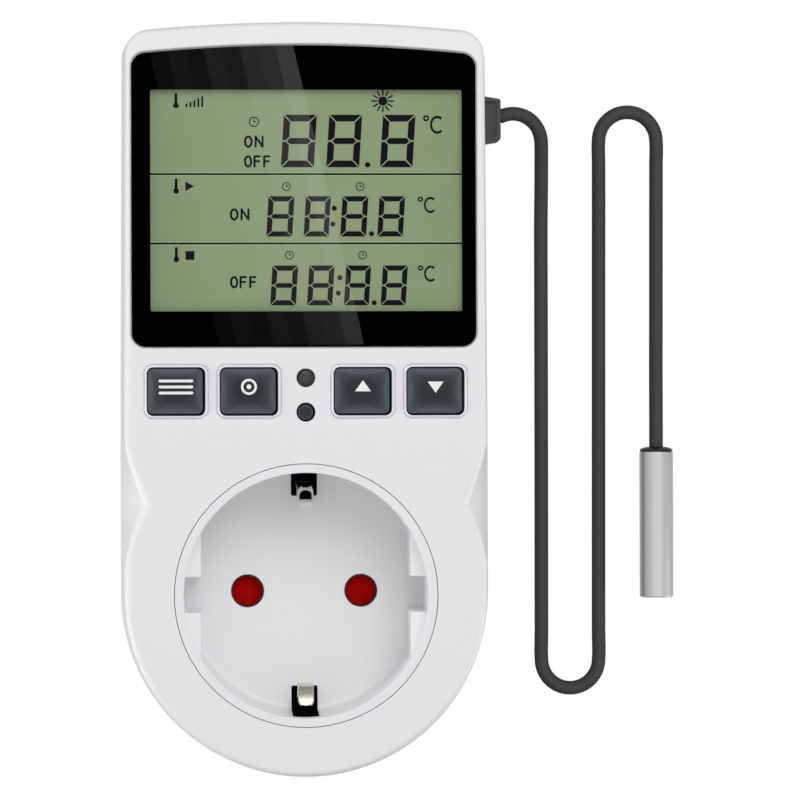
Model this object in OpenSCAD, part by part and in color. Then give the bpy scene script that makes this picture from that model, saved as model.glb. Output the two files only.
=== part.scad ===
// Plug-in temperature controller, lying face up as it is when plugged in.
// X points to the sensor side, Y to the display end and Z out of the front face.
// The origin is midway between the two plug pins, on the end face of the plug boss.

/* [Casing] */
// Width across the round end, at the parting line
casing_w = 61; // [59:0.5:66]
// Width across the display end, at the parting line
casing_top_w = 60.4; // [58:0.1:61]
// Distance from the socket axis to the top edge, at the middle of its arch
casing_top_y = 94.5; // [94:0.1:104]
// Radius of the arched top edge
top_arc_r = 265; // [200:5:400]
// Radius of the two corners of the display end
top_corner_r = 5; // [4:0.1:6]
// Depth of the casing from its back plane to its front face
casing_d = 38; // [37.5:0.5:46]
// Depth of the front cover
front_cover_d = 12; // [11:0.5:14]
// How far the front face is drawn in on each side
front_draft = 1; // [0.2:0.1:1.2]
// How far the back face is drawn in on each side
rear_draft = 0.7; // [0.2:0.1:1]
// Rounding of the front edge
front_edge_r = 1; // [0.6:0.1:1.4]
// Rounding of the rear edge
rear_edge_r = 1.6; // [1:0.1:2]
// Side wall of both covers
wall_t = 2; // [1.6:0.1:2.4]
// Thickness of the front plate
front_plate_t = 2.5; // [2.2:0.1:3]
// Thickness of the back plate
back_plate_t = 2; // [1.6:0.1:2.4]
// Thickness of the rear cover's tongue, which enters the front cover
tongue_t = 0.9; // [0.6:0.1:1]
// Height of that tongue
tongue_h = 1.4; // [0.8:0.1:2]

/* [Waist] */
// Depth of the finger scoop in the front face, on each side
waist_in = 3.9; // [2:0.1:4.5]
// How far the circle that the scoops follow lies inside the parting line
waist_draft = 0.5; // [0.2:0.1:1]
// Height above the socket axis where the scoop is deepest
waist_y = 15; // [13:0.5:18]
// Height above the socket axis where the scoop begins
waist_top_y = 29; // [26:0.5:32]

/* [Window and display] */
// Sideways place of the window plate
window_x = -0.2; // [-0.3:0.1:0.3]
// Sideways place of the display field
field_x = 0.2; // [-0.3:0.1:0.3]
// Frame of the casing beside the window
window_side = 2; // [1.5:0.1:4]
// Lower edge of the window, above the socket axis
window_low_y = 40.5; // [40:0.1:42]
// Frame of the casing above the window, at the middle of its arch
window_above = 4.6; // [4.4:0.1:8]
// Corner radius of the window
window_corner_r = 2.4; // [1.5:0.1:4]
// Thickness of the window plate
window_t = 1.5; // [1:0.1:1.6]
// Border of the window beside the display field
field_side = 2.75; // [2.5:0.05:6]
// Border of the window below the display field
field_below = 5.9; // [5.5:0.1:8]
// Border of the window above the display field, at the middle of its arch
field_above = 7.3; // [7:0.1:10]
// Rim of the display glass around its field
glass_rim = 1; // [0.8:0.1:1.2]
// Thickness of the display glass
glass_t = 2.8; // [2:0.1:3]
// Thickness of the display holder's frame
holder_t = 1.1; // [0.8:0.1:1.4]
// Width of the elastomer connectors
zebra_w = 1.8; // [1.2:0.1:1.9]

/* [Keys] */
// Distance from the casing's side to the outer keys
key_side = 4.4; // [4.4:0.05:6]
// Gap between the two keys of a pair
key_gap = 2.5; // [2.4:0.1:3.5]
// Half of the gap between the two pairs
key_middle = 4.6; // [4.5:0.05:5.5]
// Height of a key on the front face
key_h = 7.75; // [6:0.05:8]
// Corner radius of a key
key_r = 0.9; // [0.5:0.1:1.5]
// How far a key stands proud
key_proud = 0.9; // [0.4:0.1:1.5]
// Travel of a key
key_travel = 0.6; // [0.3:0.05:0.7]
// Height of the key row above the socket axis
key_y = 33.3; // [33:0.1:33.6]
// Flange that keeps a key inside the cover, on each side
key_flange = 0.7; // [0.4:0.05:0.75]
// Thickness of that flange
key_flange_t = 1; // [0.6:0.1:1.1]
// Width of the raised lip round a key opening
lip_w = 0.5; // [0.3:0.1:0.6]
// Height of that lip
lip_h = 0.25; // [0.1:0.05:0.4]
// Diameter of the reset button
reset_d = 2.7; // [2:0.1:3]
// Height of the reset button above the socket axis
reset_y = 29.9; // [29.6:0.1:30]
// How far the reset button lies below the front face
reset_drop = 0.35; // [0.1:0.05:0.8]
// Travel of the reset button
reset_travel = 0.5; // [0.3:0.05:0.6]
// Diameter of the indicator lens
led_d = 2.8; // [2.4:0.1:3]
// Height of the indicator above the socket axis
led_y = 35.5; // [35.3:0.1:35.9]

/* [Socket] */
// Outer diameter of the socket insert's ring
ring_d = 42.9; // [42.4:0.1:43.4]
// Inner diameter of the socket recess
recess_d = 40; // [39.5:0.1:40.5]
// Depth of the socket recess
recess_depth = 17.5; // [17:0.1:18]
// Thickness of the recess floor
cup_floor_t = 2; // [1.6:0.1:2.2]
// Width of the step that holds the insert behind the front plate
cup_step = 0.9; // [0.6:0.1:1]
// Distance between the two guide flats
guide_gap = 34.4; // [34:0.1:35]
// How far the guides begin below the rim
guide_drop = 4; // [3:0.1:5]
// Width of the notch in each guide
guide_notch_w = 5.8; // [5:0.1:6.4]
// Diameter of the two pin holes
hole_d = 5.5; // [5.3:0.1:5.7]
// Distance between the two pins, and between the two holes
pin_pitch = 19; // [19:0.1:19.4]
// Width of an earth slot
slot_w = 4.4; // [4:0.1:5]
// Radius from the socket axis where an earth slot begins
slot_in_r = 15.9; // [15.8:0.1:16.2]
// How far an earth slot ends below the rim
slot_drop = 3; // [2.8:0.1:4]

/* [Plug] */
// Diameter of the plug boss
boss_d = 38.4; // [37:0.1:39]
// Height of the plug boss behind the casing
boss_h = 17; // [16:0.1:17.4]
// Distance between the two flats of the plug boss
boss_flat_w = 33.6; // [33:0.1:34]
// Width of the guide rib on each flat
boss_rib_w = 5; // [4:0.1:5.4]
// Diameter of a plug pin
pin_d = 4.8; // [4.7:0.05:4.9]
// Length of a plug pin
pin_l = 19; // [18.5:0.1:19.5]
// Length of the tapered tip of a pin
pin_tip = 1.4; // [0.8:0.1:2]
// Width of an earth strip on the side of the boss
earth_w = 6; // [5:0.1:7]
// Thickness of the earth strip
earth_t = 0.8; // [0.6:0.1:0.9]

/* [Contacts] */
// Inner diameter of a contact sleeve
sleeve_d = 5; // [4.95:0.05:5.2]
// Wall of a contact sleeve
sleeve_t = 0.7; // [0.5:0.1:0.8]
// Width of an earth clip
clip_w = 2.6; // [2:0.1:3.4]
// Thickness of an earth clip
clip_t = 0.6; // [0.4:0.1:0.7]
// How far the hook of an earth clip reaches in front of its foot
clip_reach = 3.2; // [2.6:0.1:3.3]

/* [Shutter] */
// Radius of a shutter wing's round end
wing_r = 3.3; // [3.1:0.1:3.4]
// Thickness of the shutter
shutter_t = 1.6; // [1.2:0.1:2]
// Diameter of the pivot
pivot_d = 3.2; // [2.8:0.1:3.4]
// Running clearance of the pivot
pivot_gap = 0.05; // [0.02:0.01:0.1]
// Thickness of the carrier plate
carrier_t = 2; // [1.8:0.1:2.2]
// Outer radius of the carrier
carrier_r = 15.4; // [15.3:0.1:15.6]
// Wire of the return spring
wire_d = 0.35; // [0.25:0.05:0.4]
// Mean radius of the return spring
spring_r = 3; // [2.9:0.1:3.1]

/* [Boards and parts] */
// Thickness of both circuit boards
board_t = 1.6; // [1:0.1:1.6]
// Length of a switch housing's side
switch_w = 6; // [5:0.1:6.2]
// Height of a switch housing
switch_h = 3.5; // [3:0.1:3.6]
// Diameter of a switch plunger
plunger_d = 3.5; // [3:0.1:3.6]
// Length of the relay
relay_l = 28.8; // [20:0.1:29]
// Width of the relay
relay_w = 12.6; // [10:0.1:13]
// Height of the relay
relay_h = 15.7; // [12:0.1:16]
// Length of the dropper capacitor
dropper_l = 18; // [12:0.5:18]
// Thickness of the dropper capacitor
dropper_w = 8.5; // [6:0.1:9]
// Height of the dropper capacitor
dropper_h = 14.5; // [10:0.1:15.5]
// Diameter of the smoothing capacitor
smoother_d = 10; // [8:0.1:11]
// Height of the smoothing capacitor
smoother_h = 13; // [10:0.1:15]
// Diameter of the backup cell
cell_d = 12; // [10:0.1:12.5]
// Height of the backup cell
cell_h = 4.8; // [3:0.1:5]

/* [Sensor] */
// Diameter of the sensor lead
lead_d = 2.3; // [2:0.1:2.4]
// Width of the gland at the casing
gland_w = 8.2; // [7:0.1:9]
// Width of the gland at its outer end
gland_end_w = 7; // [6:0.1:8]
// How far the gland stands out of the casing
gland_out = 4; // [3:0.1:5]
// Height of the gland's centre above the back plane
gland_up = 9; // [8.5:0.1:11]
// Height of the gland's centre above the socket axis
gland_y = 79.8; // [79:0.1:80]
// Diameter of the probe sleeve
probe_d = 5.8; // [5.5:0.1:6.5]
// Length of the probe sleeve
probe_l = 25.5; // [20:0.5:30]
// Wall of the probe sleeve
probe_wall = 0.3; // [0.2:0.05:0.5]

/* [Fasteners] */
// Diameter of a case screw's shank
screw_d = 2.8; // [2.4:0.1:3]
// Diameter of a case screw's head
screw_head_d = 4.6; // [4.2:0.1:4.8]
// Diameter of a board screw's shank
small_screw_d = 2; // [1.6:0.1:2.2]
// Diameter of a board screw's head
small_head_d = 3.8; // [3.4:0.1:4]

/* [Hidden] */

// Colours
shell_white = "#f1f2f3";
cup_white = "#e9eaeb";
charcoal = "#43484e";
rubber_grey = "#3c3d40";
board_green = "#2f6b46";
brass = "#c9a24e";
steel = "#c3c6c9";
window_black = "#0b0c0e";
field_green = "#8d9a77";
shutter_red = "#8c1016";

// Clearances that mating pieces share
overrun = 1;         // how far a cut passes the face that it starts from
fit_gap = 0.1;       // between pieces that are fixed to each other
joint_gap = 0.15;    // the fine line between the insert's ring and the cover
slide_gap = 0.2;     // round a key in its opening
swing_gap = 0.3;     // round pieces that turn
press_gap = 0.02;    // round a pin that is moulded in

// Heights
back_z = boss_h;
front_z = back_z + casing_d;
part_z = front_z - front_cover_d;
plate_z = front_z - front_plate_t;
floor_z = back_z + back_plate_t;
recess_z = front_z - recess_depth;
cup_low_z = recess_z - cup_floor_t;
shutter_z = cup_low_z - swing_gap - shutter_t;
carrier_top_z = shutter_z - swing_gap;
carrier_z = carrier_top_z - carrier_t;
ledge_z = front_z - window_t;
glass_z = plate_z - fit_gap - glass_t;
display_stack = 4;   // room between the display board and the glass
display_board_top = glass_z - display_stack;
display_board_z = display_board_top - board_t;
power_board_up = 2.5;   // length of the posts under the power board
power_board_z = floor_z + power_board_up;
power_top = power_board_z + board_t;

// Outline of the casing
outline_steps = 18;  // points along the round half of one side
side_steps = 6;      // points along each flank of the waist
corner_steps = 5;    // points along a corner
arch_steps = 5;      // points along half of the arch
edge_steps = 3;      // rings along a rounded edge
half_w = casing_w / 2;
top_half_w = casing_top_w / 2;
narrow_w = min(casing_w, casing_top_w);
arc_centre_y = casing_top_y - top_arc_r;
corner_x = top_half_w - top_corner_r;
corner_y = arc_centre_y + sqrt(pow(top_arc_r - top_corner_r, 2) - pow(corner_x, 2));
corner_end = 90 - asin(corner_x / (top_arc_r - top_corner_r));
front_r = half_w - waist_draft;

// Half-width of the front face at height y: the socket's disc below, the tapering neck above
function neck_x(y) =
    y <= waist_y ? sqrt(pow(front_r, 2) - pow(y, 2))
    : y >= waist_top_y ? front_r
    : let (low = min(front_r - waist_in, sqrt(pow(front_r, 2) - pow(waist_y, 2))))
      low + (front_r - low) * sin(90 * (y - waist_y) / (waist_top_y - waist_y));

// How far the outline is drawn in at height y, when the scoop is at its full depth
function scoop(y) = y <= 0 ? front_draft : max(front_draft, half_w - neck_x(y));

// Half of the outline as [place, direction outwards, full scoop], from the bottom to the top
function half_outline() = concat(
    [for (i = [0:outline_steps]) let (a = -90 + 90 * i / outline_steps)
        [half_w * [cos(a), sin(a)], [cos(a), sin(a)], front_draft]],
    [for (i = [1:side_steps]) let (y = waist_y * i / side_steps) [[half_w, y], [1, 0], scoop(y)]],
    [for (i = [1:side_steps]) let (y = waist_y + (waist_top_y - waist_y) * i / side_steps)
        [[half_w, y], [1, 0], scoop(y)]],
    [for (i = [0:corner_steps]) let (a = corner_end * i / corner_steps)
        [[corner_x, corner_y] + top_corner_r * [cos(a), sin(a)], [cos(a), sin(a)], front_draft]],
    [for (i = [1:arch_steps]) let (a = corner_end + (90 - corner_end) * i / arch_steps)
        [[0, arc_centre_y] + top_arc_r * [cos(a), sin(a)], [cos(a), sin(a)], front_draft]]
);

// The whole outline, drawn in by inset, with a share of the scoop
function outline(inset, share) =
    let (half = half_outline(), n = len(half),
         right = [for (p = half) p[0] - p[1] * (inset + share * p[2])])
    concat(right, [for (i = [n - 2:-1:1]) [-right[i][0], right[i][1]]]);

// A closed solid through rings of equal length; each ring is [height, points]
module loft(rings) {
    n = len(rings[0][1]);
    last = len(rings) - 1;
    points = [for (r = rings) for (p = r[1]) [p[0], p[1], r[0]]];
    sides = [for (k = [0:last - 1]) for (i = [0:n - 1]) let (j = (i + 1) % n)
        let (a = k * n + i, b = k * n + j)
        for (f = [[a, a + n, b + n], [a, b + n, b]]) f];
    polyhedron(points, concat([[for (i = [0:n - 1]) i]], sides, [[for (i = [n - 1:-1:0]) last * n + i]]));
}

// Share of the scoop at height z of the front cover
function front_share(z) = (z - part_z) / front_cover_d;

// Rings of the front cover's outside, with its rounded front edge
function front_rings(inset) = concat(
    [[part_z, outline(inset, 0)]],
    [for (i = [0:edge_steps]) let (a = 90 * i / edge_steps,
                                   z = front_z - front_edge_r * (1 - sin(a)))
        [z, outline(inset + front_edge_r * (1 - cos(a)), front_share(z))]]
);

// Rings of the rear cover's outside, with its rounded rear edge
function rear_rings() = concat(
    [for (i = [edge_steps:-1:0]) let (a = 90 * i / edge_steps)
        [back_z + rear_edge_r * (1 - sin(a)), outline(rear_draft + rear_edge_r * (1 - cos(a)), 0)]],
    [[part_z, outline(0, 0)]]
);

module slab(size, at) {
    translate([at[0] - size[0] / 2, at[1] - size[1] / 2, at[2]])
        cube(size);
}

module post(d, h, at) {
    translate(at)
        cylinder(d = d, h = h, $fn = 48);
}

module hole(d, low, high, at) {
    translate([at[0], at[1], low])
        cylinder(d = d, h = high - low, $fn = 48);
}

// A plate with round corners, centred on x and y
module round_plate(w, d, r, h) {
    linear_extrude(h)
        union() {
            square([w - 2 * r, d], center = true);
            square([w, d - 2 * r], center = true);
            for (sx = [-1, 1])
                for (sy = [-1, 1])
                    translate([sx * (w / 2 - r), sy * (d / 2 - r)])
                        circle(r, $fn = 32);
        }
}

// Sweep of a round cord: points with even directions at each ring
cord_sides = 8;
function unit(v) = v / norm(v);
function heading(p, i) = unit(p[min(i + 1, len(p) - 1)] - p[max(i - 1, 0)]);
function side_of(t) = unit(cross(t, abs(t[2]) > norm([t[0], t[1]]) ? [1, 0, 0] : [0, 0, 1]));

module tube(p, d, first, last) {
    n = len(p);
    dir = [for (i = [0:n - 1]) i == 0 ? first : i == n - 1 ? last : heading(p, i)];
    points = [for (i = [0:n - 1]) let (u = side_of(dir[i]), v = cross(dir[i], u))
        for (k = [0:cord_sides - 1]) let (a = 360 * k / cord_sides)
            p[i] + d / 2 * (u * cos(a) + v * sin(a))];
    sides = [for (i = [0:n - 2]) for (k = [0:cord_sides - 1])
        let (a = i * cord_sides + k, b = i * cord_sides + (k + 1) % cord_sides)
        for (f = [[a, a + cord_sides, b + cord_sides], [a, b + cord_sides, b]]) f];
    polyhedron(points, concat([[for (k = [0:cord_sides - 1]) k]], sides,
                              [[for (k = [cord_sides - 1:-1:0]) (n - 1) * cord_sides + k]]));
}

// One more point between each two, on a smooth curve through them all
function between(p, i) =
    let (a = p[max(i - 1, 0)], b = p[i], c = p[i + 1], d = p[min(i + 2, len(p) - 1)],
         long = norm(c - b),
         before = (c - a) / max(norm(b - a) + long, long) * long,
         after = (d - b) / max(norm(d - c) + long, long) * long)
    (b + c) / 2 + (before - after) / 8;
function smooth(p) = concat(
    [for (i = [0:len(p) - 2]) for (q = [p[i], between(p, i)]) q],
    [p[len(p) - 1]]
);

// Gland and lead: the gland's flat face stands clear of the sloping side wall
side_slope = (half_w - top_half_w) / (corner_y - waist_top_y);
rear_slope = rear_draft / (part_z - back_z);
gland_z = back_z + gland_up;
gland_face = half_w - side_slope * (gland_y - waist_top_y) - rear_slope * (part_z - gland_z);
gland_fit = 0.01;        // least gap between the gland and the wall
gland_gap = gland_fit + (abs(side_slope) + rear_slope) * gland_w / 2;

// Route of the sensor lead from the gland's end, chosen by hand: down to the surface that the
// casing's back plane lies on, along it in three runs, and up into the probe. Heights count
// from that plane
lead_steps = [
    [0, 0, gland_up], [1.5, 1.2, 8.8], [3, 1.8, 8.3], [5.3, 1.2, 7], [7, -0.6, 5.2],
    [7.7, -3.4, 3.6], [7.75, -7.8, 2], [7.75, -13.8, 1.2], [7.75, -39.8, 1.2], [7.7, -67.8, 1.2],
    [7.7, -87.8, 1.2], [7.7, -92.8, 1.2], [9.2, -96.3, 1.2], [12.7, -97.8, 1.2],
    [16.2, -96.3, 1.2], [17.7, -92.8, 1.2], [17.7, -87.8, 1.2], [17.75, -67.8, 1.2],
    [17.75, -29.8, 1.2], [17.75, -7.8, 1.2], [17.75, -2.9, 1.2], [19.2, 0.6, 1.2], [22.75, 2.1, 1.2],
    [26.3, 0.6, 1.2], [27.75, -2.9, 1.2], [27.75, -7.8, 1.2], [27.75, -29.8, 1.2], [27.7, -41.8, 1.3],
    [27.65, -48.8, 2], [27.6, -52.8, 2.7], [27.6, -56.4, 2.9]
];
lead_start = [gland_face + gland_gap + gland_out, gland_y, back_z];
lead_route = [for (p = lead_steps) p + lead_start];
gland_end = lead_route[0];
probe_mouth = lead_route[len(lead_route) - 1];

// Front cover

window_w = narrow_w - 2 * window_side;
window_top_y = casing_top_y - window_above;
field_w = window_w - 2 * field_side;
field_h = window_top_y - field_above - window_low_y - field_below;
field_y = window_low_y + field_below + field_h / 2;
lcd_w = field_w + 2 * glass_rim;
lcd_h = field_h + 2 * glass_rim;
key_w = (narrow_w / 2 - key_side - key_gap - key_middle) / 2;
key_inner_x = key_middle + key_w / 2;
key_outer_x = key_inner_x + key_w + key_gap;
key_places = [[-key_outer_x, key_y], [-key_inner_x, key_y], [key_inner_x, key_y], [key_outer_x, key_y]];
case_post_wall = 1;      // wall of a rear post round a screw's head
case_post_gap = 0.5;     // between a rear post and the socket insert
case_post_sink = 0.6;    // how far an upper post merges with the side wall
case_corner_drop = 1.5;  // how far an upper post lies below the corner's own centre
case_post_d = screw_head_d + 2 * slide_gap + 2 * case_post_wall;
case_low = (ring_d / 2 + case_post_gap + case_post_d / 2) * cos(45);
case_top_x = top_half_w - rear_draft - wall_t - case_post_d / 2 + case_post_sink;
case_top_y = corner_y - case_corner_drop;
case_places = [[-case_low, -case_low], [case_low, -case_low],
               [-case_top_x, case_top_y], [case_top_x, case_top_y]];
case_boss_d = 6;         // front boss round a case screw
case_head_h = 1.8;       // thickness of a case screw's head
case_head_up = 12;       // how far a head lies inside the back plane
case_screw_l = 21;       // length of a case screw's shank
board_boss_d = 4.2;      // front boss that carries the display board
board_low = [13, 25.7];  // place of a lower display board screw
board_top = [11, casing_top_y - wall_t - board_boss_d / 2 - 2.3];
board_places = [[-board_low[0], board_low[1]], board_low, [-board_top[0], board_top[1]], board_top];
board_screw_l = 5;       // length of a board screw's shank
board_head_h = 1.4;      // thickness of a board screw's head

module window_shape(w, low, top, r, h) {
    reach = w / 2 - r;
    arc_y = top - top_arc_r;
    tip_y = arc_y + sqrt(pow(top_arc_r - r, 2) - pow(reach, 2));
    turn = asin(reach / (top_arc_r - r));
    far = top_arc_r * 2;
    linear_extrude(h)
        union() {
            translate([-reach, low])
                square([2 * reach, tip_y - low]);
            translate([-w / 2, low + r])
                square([w, tip_y - low - r]);
            for (sx = [-1, 1])
                for (y = [low + r, tip_y])
                    translate([sx * reach, y])
                        circle(r, $fn = 32);
            intersection() {
                translate([0, arc_y])
                    circle(top_arc_r, $fn = 360);
                polygon([[0, arc_y], [-far * sin(turn), arc_y + far * cos(turn)],
                         [far * sin(turn), arc_y + far * cos(turn)]]);
                translate([-w, low + r])
                    square([2 * w, top]);
            }
        }
}

module front_cover() color(shell_white)
    difference() {
        union() {
            difference() {
                loft(front_rings(0));
                loft([[part_z - overrun, outline(wall_t, 0)], [part_z, outline(wall_t, 0)],
                      [plate_z, outline(wall_t, front_share(plate_z))]]);
            }
            for (p = case_places)
                post(case_boss_d, plate_z - part_z, [p[0], p[1], part_z]);
            for (p = board_places)
                post(board_boss_d, plate_z - display_board_top, [p[0], p[1], display_board_top]);
            for (p = key_places)
                translate([p[0], p[1], front_z - overrun])
                    round_plate(key_w + 2 * (slide_gap + lip_w), key_h + 2 * (slide_gap + lip_w),
                                key_r + slide_gap + lip_w, overrun + lip_h);
        }
        hole(ring_d + 2 * joint_gap, plate_z - overrun, front_z + overrun, [0, 0]);
        translate([window_x, 0, ledge_z])
            window_shape(window_w + 2 * fit_gap, window_low_y - fit_gap, window_top_y + fit_gap,
                         window_corner_r + fit_gap, window_t + overrun);
        slab([field_w + glass_rim, field_h + glass_rim, front_plate_t + overrun],
             [field_x, field_y, plate_z - overrun / 2]);
        for (p = key_places)
            translate([p[0], p[1], plate_z - overrun])
                round_plate(key_w + 2 * slide_gap, key_h + 2 * slide_gap, key_r + slide_gap,
                            front_plate_t + 2 * overrun);
        hole(led_d + 2 * fit_gap, plate_z - overrun, front_z + overrun, [0, led_y]);
        hole(reset_d + 2 * slide_gap, plate_z - overrun, front_z + overrun, [0, reset_y]);
        for (p = case_places)
            hole(screw_d + 2 * press_gap, part_z - overrun, plate_z - overrun / 2, p);
        for (p = board_places)
            hole(small_screw_d + 2 * press_gap, display_board_top - overrun, plate_z - overrun / 2, p);
    }

// Rear cover

board_gap = 2.2;         // between a board and the side wall
board_side = narrow_w / 2 - wall_t - board_gap;
power_near = 26;         // lower edge of the power board
power_far = 84;          // upper edge of the power board
post_in = 3.7;           // from a board's side to the middle of a post
post_up = 3.6;           // from the power board's lower edge to its lower posts
post_left = 4.6;         // from its upper edge to the left upper post
post_right = 13.6;       // from its upper edge to the right upper post, below the gland
post_x = board_side - post_in;
power_places = [[-post_x, power_near + post_up], [post_x, power_near + post_up],
                [-post_x, power_far - post_left], [post_x, power_far - post_right]];
power_post_d = 5;        // post under the power board
gland_neck_w = 5.6;      // gland where it passes through the wall

tongue_out = wall_t + fit_gap;    // from the casing's side to the tongue
tongue_share = front_share(part_z + tongue_h);
case_post_z = back_z + back_plate_t / 2;

module rear_cover() color(shell_white)
    difference() {
        union() {
            difference() {
                loft(rear_rings());
                loft([[floor_z, outline(rear_draft + wall_t, 0)], [part_z, outline(wall_t, 0)],
                      [part_z + overrun, outline(wall_t, 0)]]);
            }
            difference() {
                loft([[part_z - tongue_h, outline(tongue_out, 0)], [part_z, outline(tongue_out, 0)],
                      [part_z + tongue_h, outline(tongue_out, tongue_share)]]);
                loft([[part_z - tongue_h - overrun, outline(tongue_out + tongue_t, 0)],
                      [part_z, outline(tongue_out + tongue_t, 0)],
                      [part_z + tongue_h + overrun, outline(tongue_out + tongue_t, tongue_share)]]);
                for (p = case_places)
                    hole(case_post_d, part_z, part_z + tongue_h + overrun, p);
            }
            for (p = case_places)
                post(case_post_d, part_z - case_post_z, [p[0], p[1], case_post_z]);
            for (p = power_places)
                post(power_post_d, power_board_z - floor_z + overrun, [p[0], p[1], floor_z - overrun]);
        }
        hole(boss_d + 2 * fit_gap, back_z - overrun, floor_z + overrun, [0, 0]);
        for (p = case_places) {
            hole(screw_head_d + 2 * slide_gap, back_z - overrun, back_z + case_head_up + case_head_h, p);
            hole(screw_d + 2 * slide_gap, back_z, part_z + overrun, p);
        }
        for (p = power_places)
            hole(small_screw_d + 2 * press_gap, floor_z, power_board_z + overrun, p);
        slab([casing_w, gland_neck_w + 2 * fit_gap, gland_neck_w + 2 * fit_gap],
             [half_w + top_half_w / 2 + wall_t, gland_y, gland_z - gland_neck_w / 2 - fit_gap]);
    }

// Window and display

module display_window() color(window_black)
    translate([window_x, 0, ledge_z])
        window_shape(window_w, window_low_y, window_top_y, window_corner_r, window_t);

module lcd_panel() color(field_green)
    slab([lcd_w, lcd_h, glass_t], [field_x, field_y, glass_z]);

module lcd_holder() color(cup_white)
    difference() {
        slab([lcd_w, lcd_h, display_stack], [field_x, field_y, display_board_top]);
        slab([lcd_w - 2 * holder_t, lcd_h - 2 * holder_t, display_stack + 2 * overrun],
             [field_x, field_y, display_board_top - overrun]);
    }

zebra_end = 1.1;         // from an elastomer connector's end to the holder

module lcd_zebra_strips() color(rubber_grey)
    for (s = [-1, 1])
        slab([lcd_w - 2 * (holder_t + zebra_end), zebra_w, display_stack],
             [field_x, field_y + s * (lcd_h / 2 - holder_t - fit_gap - zebra_w / 2), display_board_top]);

// Keys

flange_z = plate_z - fit_gap - key_flange_t;
plunger_up = 0.4;        // how far a plunger stands out of its switch
plunger_top = display_board_top + switch_h + plunger_up;
key_step = 0.25;         // step round a key's top
stem_d = 3;              // stem that presses a switch

module key_at(p)
    union() {
        translate([p[0], p[1], flange_z])
            round_plate(key_w + 2 * key_flange, key_h + 2 * key_flange, key_r, key_flange_t);
        translate([p[0], p[1], flange_z])
            round_plate(key_w, key_h, key_r, front_z + key_proud - key_step - flange_z);
        translate([p[0], p[1], front_z])
            round_plate(key_w - 2 * key_step, key_h - 2 * key_step, key_r, key_proud);
        post(stem_d, flange_z - plunger_top + overrun / 2, [p[0], p[1], plunger_top]);
    }

module mode_key() color(charcoal) key_at(key_places[0]);
module set_key() color(charcoal) key_at(key_places[1]);
module up_key() color(charcoal) key_at(key_places[2]);
module down_key() color(charcoal) key_at(key_places[3]);

module reset_button() color(charcoal)
    union() {
        post(reset_d, front_z - reset_drop - plunger_top, [0, reset_y, plunger_top]);
        post(reset_d + 2 * key_flange, key_flange_t, [0, reset_y, flange_z]);
    }

plunger_in = 1.6;        // how far a plunger reaches into its switch
plunger_low = display_board_top + switch_h - plunger_in;

module plunger_at(p) color(rubber_grey)
    post(plunger_d, plunger_top - plunger_low, [p[0], p[1], plunger_low]);

module mode_plunger() plunger_at(key_places[0]);
module set_plunger() plunger_at(key_places[1]);
module up_plunger() plunger_at(key_places[2]);
module down_plunger() plunger_at(key_places[3]);
module reset_plunger() plunger_at([0, reset_y]);

module switch_at(p, travel)
    difference() {
        slab([switch_w, switch_w, switch_h], [p[0], p[1], display_board_top]);
        hole(plunger_d + 2 * slide_gap, plunger_low - travel - slide_gap,
             display_board_top + switch_h + overrun, p);
    }

module tact_switches() color(rubber_grey) {
    for (p = key_places)
        switch_at(p, key_travel);
    switch_at([0, reset_y], reset_travel);
}

led_flange = 0.3;        // collar of the indicator
led_leg_w = 0.5;         // square leg of the indicator
led_pitch = 1.3;         // half of the distance between its legs

module indicator_led() color("#3a2a26")
    union() {
        hole(led_d, flange_z, front_z - led_d / 4, [0, led_y]);
        intersection() {
            translate([0, led_y, front_z - led_d / 4])
                sphere(d = led_d, $fn = 48);
            hole(led_d, front_z - led_d / 4, front_z + led_d, [0, led_y]);
        }
        post(led_d + 2 * led_flange, key_flange_t, [0, led_y, flange_z]);
        for (s = [-1, 1])
            slab([led_leg_w, led_leg_w, flange_z - display_board_top + led_leg_w],
                 [s * led_pitch / 2, led_y, display_board_top]);
    }

// Display board and what it carries

board_far = 84.3;        // upper edge of the display board's wide part
tab_w = 30;              // width of the board between the upper bosses
tab_y = 90.8;            // upper edge there
board_near = 23.4;       // lower edge of the display board
chip_w = 12;             // side of the microcontroller
chip_t = 1.6;            // thickness of the microcontroller
chip_y = 60;
cell_at = [17, 38];
link_at = [20, 60];
link_pins = 6;           // pins in the board link
link_pitch = 2.54;       // distance between those pins
link_pin_w = 0.64;       // square of those pins
link_body_w = 2.5;       // housing of the link

module display_board() color(board_green)
    difference() {
        union() {
            slab([2 * board_side, board_far - board_near, board_t],
                 [0, (board_far + board_near) / 2, display_board_z]);
            slab([tab_w, tab_y - board_near, board_t], [0, (tab_y + board_near) / 2, display_board_z]);
        }
        for (p = board_places)
            hole(small_screw_d + 2 * slide_gap, display_board_z - overrun, display_board_top + overrun, p);
        hole(ring_d + 2 * (joint_gap + overrun), display_board_z - overrun, display_board_top + overrun,
             [0, 0]);
        link_holes(display_board_z - overrun, display_board_top + overrun);
    }

function link_pin_y(i) = link_at[1] + (i - (link_pins - 1) / 2) * link_pitch;

module link_holes(low, high) {
    for (i = [0:link_pins - 1])
        slab([link_pin_w + fit_gap, link_pin_w + fit_gap, high - low], [link_at[0], link_pin_y(i), low]);
}

module microcontroller() color(window_black)
    slab([chip_w, chip_w, chip_t], [0, chip_y, display_board_z - chip_t]);

module backup_cell() color(steel)
    post(cell_d, cell_h, [cell_at[0], cell_at[1], display_board_z - cell_h]);

module board_link() color(rubber_grey)
    union() {
        slab([link_body_w, link_pins * link_pitch, link_body_w], [link_at[0], link_at[1], power_top]);
        for (i = [0:link_pins - 1])
            slab([link_pin_w, link_pin_w, display_board_top - power_top - link_body_w / 2],
                 [link_at[0], link_pin_y(i), power_top + link_body_w / 2]);
    }

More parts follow.
